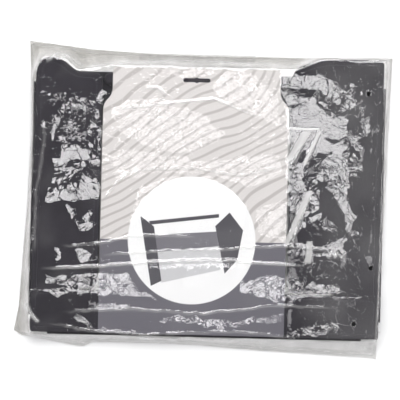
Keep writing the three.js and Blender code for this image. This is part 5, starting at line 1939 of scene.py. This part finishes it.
@dataclass
class Stuffing:
    """Cloth simulation that puffs a closed cover against a line that is sewn down.

    Sizes are in millimetres; reach is how far the cover may move.
    """

    voxel: float = 2.2
    pressure: float = 4.0
    growth: float = -0.07
    bending: float = 0.05
    frames: int = 20
    reach: float = 1.0

    def puff(self, piece: Object, sewn_below: float) -> None:
        """Puffs the cover in place; corners below that level stay sewn down.

        Args:
            piece: Closed cover.
            sewn_below: Level in millimetres.
        """
        even = piece.modifiers.new("even", "REMESH")
        even.mode = "VOXEL"
        even.voxel_size = self.voxel * MM
        start = self.settle(piece)
        sewn = piece.vertex_groups.new(name="sewn")
        sewn.add([i for i, p in enumerate(start) if p[2] < sewn_below * MM], 1.0, "REPLACE")
        settings = piece.modifiers.new("cloth", "CLOTH").settings
        settings.vertex_group_mass = "sewn"
        settings.use_pressure = True
        settings.uniform_pressure_force = self.pressure
        settings.shrink_min = self.growth
        settings.bending_stiffness = self.bending
        settings.effector_weights.gravity = 0.0
        scene = bpy.context.scene
        for step in range(1, self.frames + 1):
            scene.frame_set(step)
        moved = self.settle(piece) - start
        scene.frame_set(1)
        capped = moved * np.minimum(1.0, self.reach * MM / np.maximum(lengths_of(moved), TINY))[:, None]
        piece.data.vertices.foreach_set("co", (start + capped).ravel())
        piece.vertex_groups.clear()
        finer = piece.modifiers.new("finer", "SUBSURF")
        finer.levels = finer.render_levels = 1

    def settle(self, piece: Object) -> Points:
        """Makes what the modifiers show the piece's own mesh.

        Args:
            piece: The piece.

        Returns:
            Its corners in metres.
        """
        mesh = shown_mesh(piece, piece.name)
        piece.modifiers.clear()
        piece.data = mesh
        return np.array([v.co for v in mesh.vertices])


@dataclass
class Bumper(SubAssembly):
    """Padded roll along the rear edge, puffed and sewn down along its underside. Sizes in millimetres."""

    corner: float = 5.0
    edge: float = 4.4
    under_edge: float = 2.0
    headroom: float = 0.9
    sewn: float = 1.2

    def build(self) -> None:
        """The whole roll."""
        low, high = box_of("belly_bumper_cover")
        panel = Panel(
            rectangle(low.x, high.x, low.y, high.y, self.corner), low.z, high.z - self.headroom,
            edge=self.edge, under_edge=self.under_edge, spacing=2.4, wave=0.1, wave_size=12.0, seed=17,
        )
        piece = make_piece("belly_bumper", *panel.build(), self.finishes.cloth)
        Stuffing().puff(piece, low.z + self.sewn)
        place(piece, "tray_base", "fabric", "belly_bumper_cover", "belly_bumper_foam")


@dataclass(frozen=True)
class StrapWay:
    """Way of one belt strap along X: its sewn end, its bundle, and its turns with their levels."""

    side: Side
    end: float
    bundle: Pair
    turns: tuple


@dataclass
class Belt(SubAssembly):
    """Waist belt: sewn patches, folded webbing, elastic keepers and the side release buckle.

    Sizes are in millimetres. The left strap runs round the slider's bar and the right one round the
    housing's bar.
    """

    width: float = 20.0
    thickness: float = 1.2
    bend_radius: float = 1.5
    pitch: float = 1.5
    runs: int = 5
    belt_y: float = 118.0
    run_level: float = 14.0
    edge_strip: float = 0.5
    section_shares: tuple[float, ...] = (0.45, 1.0, 0.96, 1.0, 0.45)
    keeper_foot: tuple = ((0.0, 0.3), (0.3, 0.0), (0.8, 0.0), (1.0, 0.3))
    ways: tuple[StrapWay, ...] = (
        StrapWay(Side.LEFT, -188.0, (-118.9, -66.9), (
            (-52.9, 21.7), (-8.6, 21.7), (-8.6, 14.4), (-15.4, 14.4), (-15.4, 20.2), (-29.4, 20.2),
        )),
        StrapWay(Side.RIGHT, 188.0, (84.0, 46.0), (
            (38.5, 19.9), (31.6, 19.9), (31.6, 13.7), (44.5, 13.7),
        )),
    )

    def path(self, way: StrapWay) -> Points:
        """Whole way of a strap, with the zigzag of runs one above the other in its bundle.

        Args:
            way: The way.

        Returns:
            Places along X and Z.
        """
        enter, far = way.bundle
        levels = [self.run_level + run * self.pitch for run in range(self.runs)]
        ends = [(enter, far) if run % 2 == 0 else (far, enter) for run in range(self.runs)]
        zigzag = [(x, level) for pair, level in zip(ends, levels) for x in pair][1:]
        return np.array([(way.end, self.run_level), *zigzag, *way.turns])

    def strap(self, path: Points) -> tuple[Points, Faces]:
        """Flat strap that follows a path, with rounded bends and thickness.

        Args:
            path: Places along X and Z.

        Returns:
            Points and faces.
        """
        line = [path[0]]
        for before, here, after in zip(path, path[1:], path[2:]):
            half = 0.5 * min(np.linalg.norm(before - here), np.linalg.norm(after - here))
            line.extend(bend(before, here, after, min(self.bend_radius, half), most=0.5, steps=6))
        line.append(path[-1])
        line = [p for i, p in enumerate(line) if i == 0 or np.linalg.norm(p - line[i - 1]) > 0.03]
        line = resample(np.array(line), 5.0, closed=False)
        steps = np.diff(line, axis=0) / lengths_of(np.diff(line, axis=0))[:, None]
        along = np.vstack([steps[:1], steps]) + np.vstack([steps, steps[-1:]])
        normal = np.stack([-along[:, 1], along[:, 0]], axis=1) * self.thickness / 2
        normal *= (2 / np.maximum((along ** 2).sum(axis=1), 1.0))[:, None]
        half = self.width / 2
        ys = (-half, self.edge_strip - half, 0.0, half - self.edge_strip, half)
        upper = list(zip(ys, self.section_shares))
        ring = upper + [(y, -share) for y, share in reversed(upper)]
        points = [(x + nx * s, self.belt_y + y, z + nz * s)
                  for (x, z), (nx, nz) in zip(line, normal) for y, s in ring]
        return np.array(points), ring_faces(len(line), len(ring))

    def one_side(self, way: StrapWay) -> None:
        """Strap of one side and the patch that holds its end.

        Args:
            way: Way of the strap.
        """
        side, path = way.side, self.path(way)
        strap = make_piece(f"{side}_belt_webbing", *self.strap(path), self.finishes.webbing)
        place(strap, "tray_base", "webbing", f"{side}_webbing")
        low, high = box_of(f"{side}_belt_patch")
        patch = Panel(
            rectangle(low.x, high.x, low.y, high.y, 1.5), low.z, high.z - 0.05, edge=0.5, under_edge=0.2,
            spacing=2.5, wave=0.04, seams=(2.2,), seam_depth=0.2,
        )
        piece = make_piece(f"{side}_belt_tab", *patch.build(), self.finishes.side_binding)
        place(piece, "tray_base", "binding", f"{side}_belt_patch")

    def keeper(self, side: Side) -> None:
        """Elastic band round the folded webbing.

        Args:
            side: Side of its strap.
        """
        low, high = box_of(f"{side}_strap_keeper")
        outer = rounded([(y, z, 1.0) for y, z in
                         ((low.y, low.z), (high.y, low.z), (high.y, high.z), (low.y, high.z))], 4)
        head = tuple((depth, -rise) for depth, rise in reversed(self.keeper_foot))
        points, faces = ring_loft(outer, (low.x, self.keeper_foot), (high.x, head), closed=True)
        piece = make_piece(f"{side}_belt_keeper", points[:, [2, 0, 1]], faces, self.finishes.elastic)
        place(piece, f"{side}_keeper", "webbing", f"{side}_strap_keeper")

    def build(self) -> None:
        """All of the belt."""
        for way in self.ways:
            self.one_side(way)
        for way in self.ways:
            self.keeper(way.side)
        dress(self.finishes.plastic, "buckle_housing", "buckle_frame")
        dress(self.finishes.plastic, "buckle_rear_prong", "buckle_front_prong")


@dataclass
class FoldCover(SubAssembly):
    """Cloth that wraps an edge of the base where a folding wall is hinged, in place of the hinge tape.

    Sizes are in millimetres. The section is distances past the edge, and levels.
    """

    side: Side
    body: str
    out: tuple[int, int]
    edge: float
    start: float
    end: float
    thickness: float = 0.9
    section: tuple = ((-7.2, 13.9), (-2.5, 13.9), (0.6, 13.6), (1.4, 14.6), (0.6, 15.6), (-0.1, 15.9))
    hinge_levels: Pair = (13.5, 15.8)
    strip_width: float = 13.0
    spacing: float = 6.0
    bend_spacing: float = 1.2

    def build(self) -> None:
        """Strip with a bent section, drawn along the edge."""
        line = resample(np.array(self.section) + np.array([self.edge, 0.0]), self.bend_spacing, closed=False)
        steps = np.linspace(self.start, self.end, max(2, int(abs(self.end - self.start) / self.spacing)))
        right, up = self.out
        points = [(right * d + abs(up) * s, up * d + abs(right) * s, z) for s in steps for d, z in line]
        faces = grid_faces(len(steps), len(line))
        piece = make_piece(f"{self.side}_fold_cloth", np.array(points), faces, self.finishes.cloth)
        thicken(piece, self.thickness, 0.0)
        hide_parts(f"{self.side}_hinge_tape")
        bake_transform(piece)
        report(piece)


# The studio


@dataclass(frozen=True)
class Softbox:
    """Flat soft lamp that faces the pack. Its place and size are in metres.

    Its radiance is how bright its face is, where a white floor is about 1.
    """

    name: str
    spot: Triple
    size: Pair
    radiance: float

    def build(self) -> None:
        """Hangs the lamp."""
        data = bpy.data.lights.new(self.name, "AREA")
        data.shape = "RECTANGLE"
        data.size, data.size_y = self.size
        data.energy = math.pi * self.size[0] * self.size[1] * self.radiance
        lamp = link(self.name, data)
        lamp.location = self.spot
        lamp.rotation_euler = (-Vector(self.spot)).to_track_quat("-Z", "Y").to_euler()


@dataclass
class Studio:
    """Camera above the pack, pale floor and plain soft lamps. Sizes in metres."""

    distance: float = 3.0
    view_width: float = 0.4572
    sensor: float = 36.0
    middle: Triple = (-0.00814, 0.00552, 0.0245)
    roll: float = 1.4
    floor_half: float = 6.0
    floor_level: float = -0.0004
    floor_glow: float = 0.25
    world_strength: float = 0.18
    lamps: tuple[Softbox, ...] = (
        Softbox("top_softbox", (-0.06, 0.82, 1.6), (1.6, 0.8), 6.7),
        Softbox("left_softbox", (-1.25, -0.55, 1.35), (0.5, 1.0), 4.2),
        Softbox("right_softbox", (1.05, 0.08, 1.5), (0.85, 1.3), 2.2),
    )

    def camera(self) -> None:
        """Camera straight above, turned a little, at the photograph's frame."""
        data = bpy.data.cameras.new("camera")
        data.sensor_width = self.sensor
        data.lens = self.sensor * self.distance / self.view_width
        eye = link("camera", data)
        eye.location = Vector(self.middle) + Vector((0, 0, self.distance))
        eye.rotation_euler = (0.0, 0.0, math.radians(self.roll))
        bpy.context.scene.camera = eye

    def floor(self) -> None:
        """Pale floor that keeps the pack's shadow and shows white."""
        far, level = self.floor_half, self.floor_level
        corners = [(-far, -far, level), (far, -far, level), (far, far, level), (-far, far, level)]
        mesh = bpy.data.meshes.new("floor")
        mesh.from_pydata(corners, [], [(0, 1, 2, 3)])
        g = Graph("floor_white")
        rays = g.add("LightPath").outputs
        seen = rays["Is Camera Ray"]
        for kind in ("Is Glossy Ray", "Is Transmission Ray"):
            seen = g.math("MAXIMUM", seen, rays[kind])
        plain = g.add("BsdfDiffuse", Color=(0.88, 0.88, 0.88, 1.0))
        glow = g.add("Emission", Color=(1.0, 1.0, 1.0, 1.0), Strength=g.times(seen, self.floor_glow))
        mesh.materials.append(g.finish(g.add("AddShader", {}, plain, glow)))
        link("floor", mesh)

    def world(self) -> None:
        """Dim even light from all round, white behind the floor."""
        world = bpy.data.worlds.new("world")
        world.use_nodes = True
        nodes = Nodes(world.node_tree, "ShaderNode")
        nodes.tree.nodes.clear()
        dim = nodes.add("Background", Color=(0.95, 0.96, 1.0, 1.0), Strength=self.world_strength)
        white = nodes.add("Background", Strength=1.0)
        seen = nodes.add("LightPath").outputs["Is Camera Ray"]
        both = nodes.add("MixShader", {}, seen, dim, white)
        nodes.add("OutputWorld", Surface=both)
        bpy.context.scene.world = world

    def build(self) -> None:
        """All of the studio."""
        self.camera()
        for lamp in self.lamps:
            lamp.build()
        self.floor()
        self.world()
        bpy.context.scene.view_settings.view_transform = "Standard"


def main() -> None:
    """Builds every sub-assembly in order."""
    logging.basicConfig(level=logging.INFO, format="%(name)s: %(message)s")
    Studio().build()
    finishes = Finishes()
    dress(finishes.card, "insert_card")
    for part in (
        Base(finishes),
        Wing(finishes, Side.LEFT, seed=5, rows=4),
        Wing(finishes, Side.RIGHT, seed=7, rows=6),
        FrontWall(finishes),
        Bumper(finishes),
        Belt(finishes),
        FoldCover(finishes, Side.LEFT, "left_wing", out=(-1, 0), edge=200.0, start=-130.0, end=138.0),
        FoldCover(finishes, Side.RIGHT, "right_wing", out=(1, 0), edge=200.0, start=-130.0, end=138.0),
        FoldCover(finishes, Side.FRONT, "front_wall", out=(0, -1), edge=150.0, start=-180.0, end=180.0),
        Bag(finishes),
    ):
        part.build()


if __name__ == "__main__":
    main()
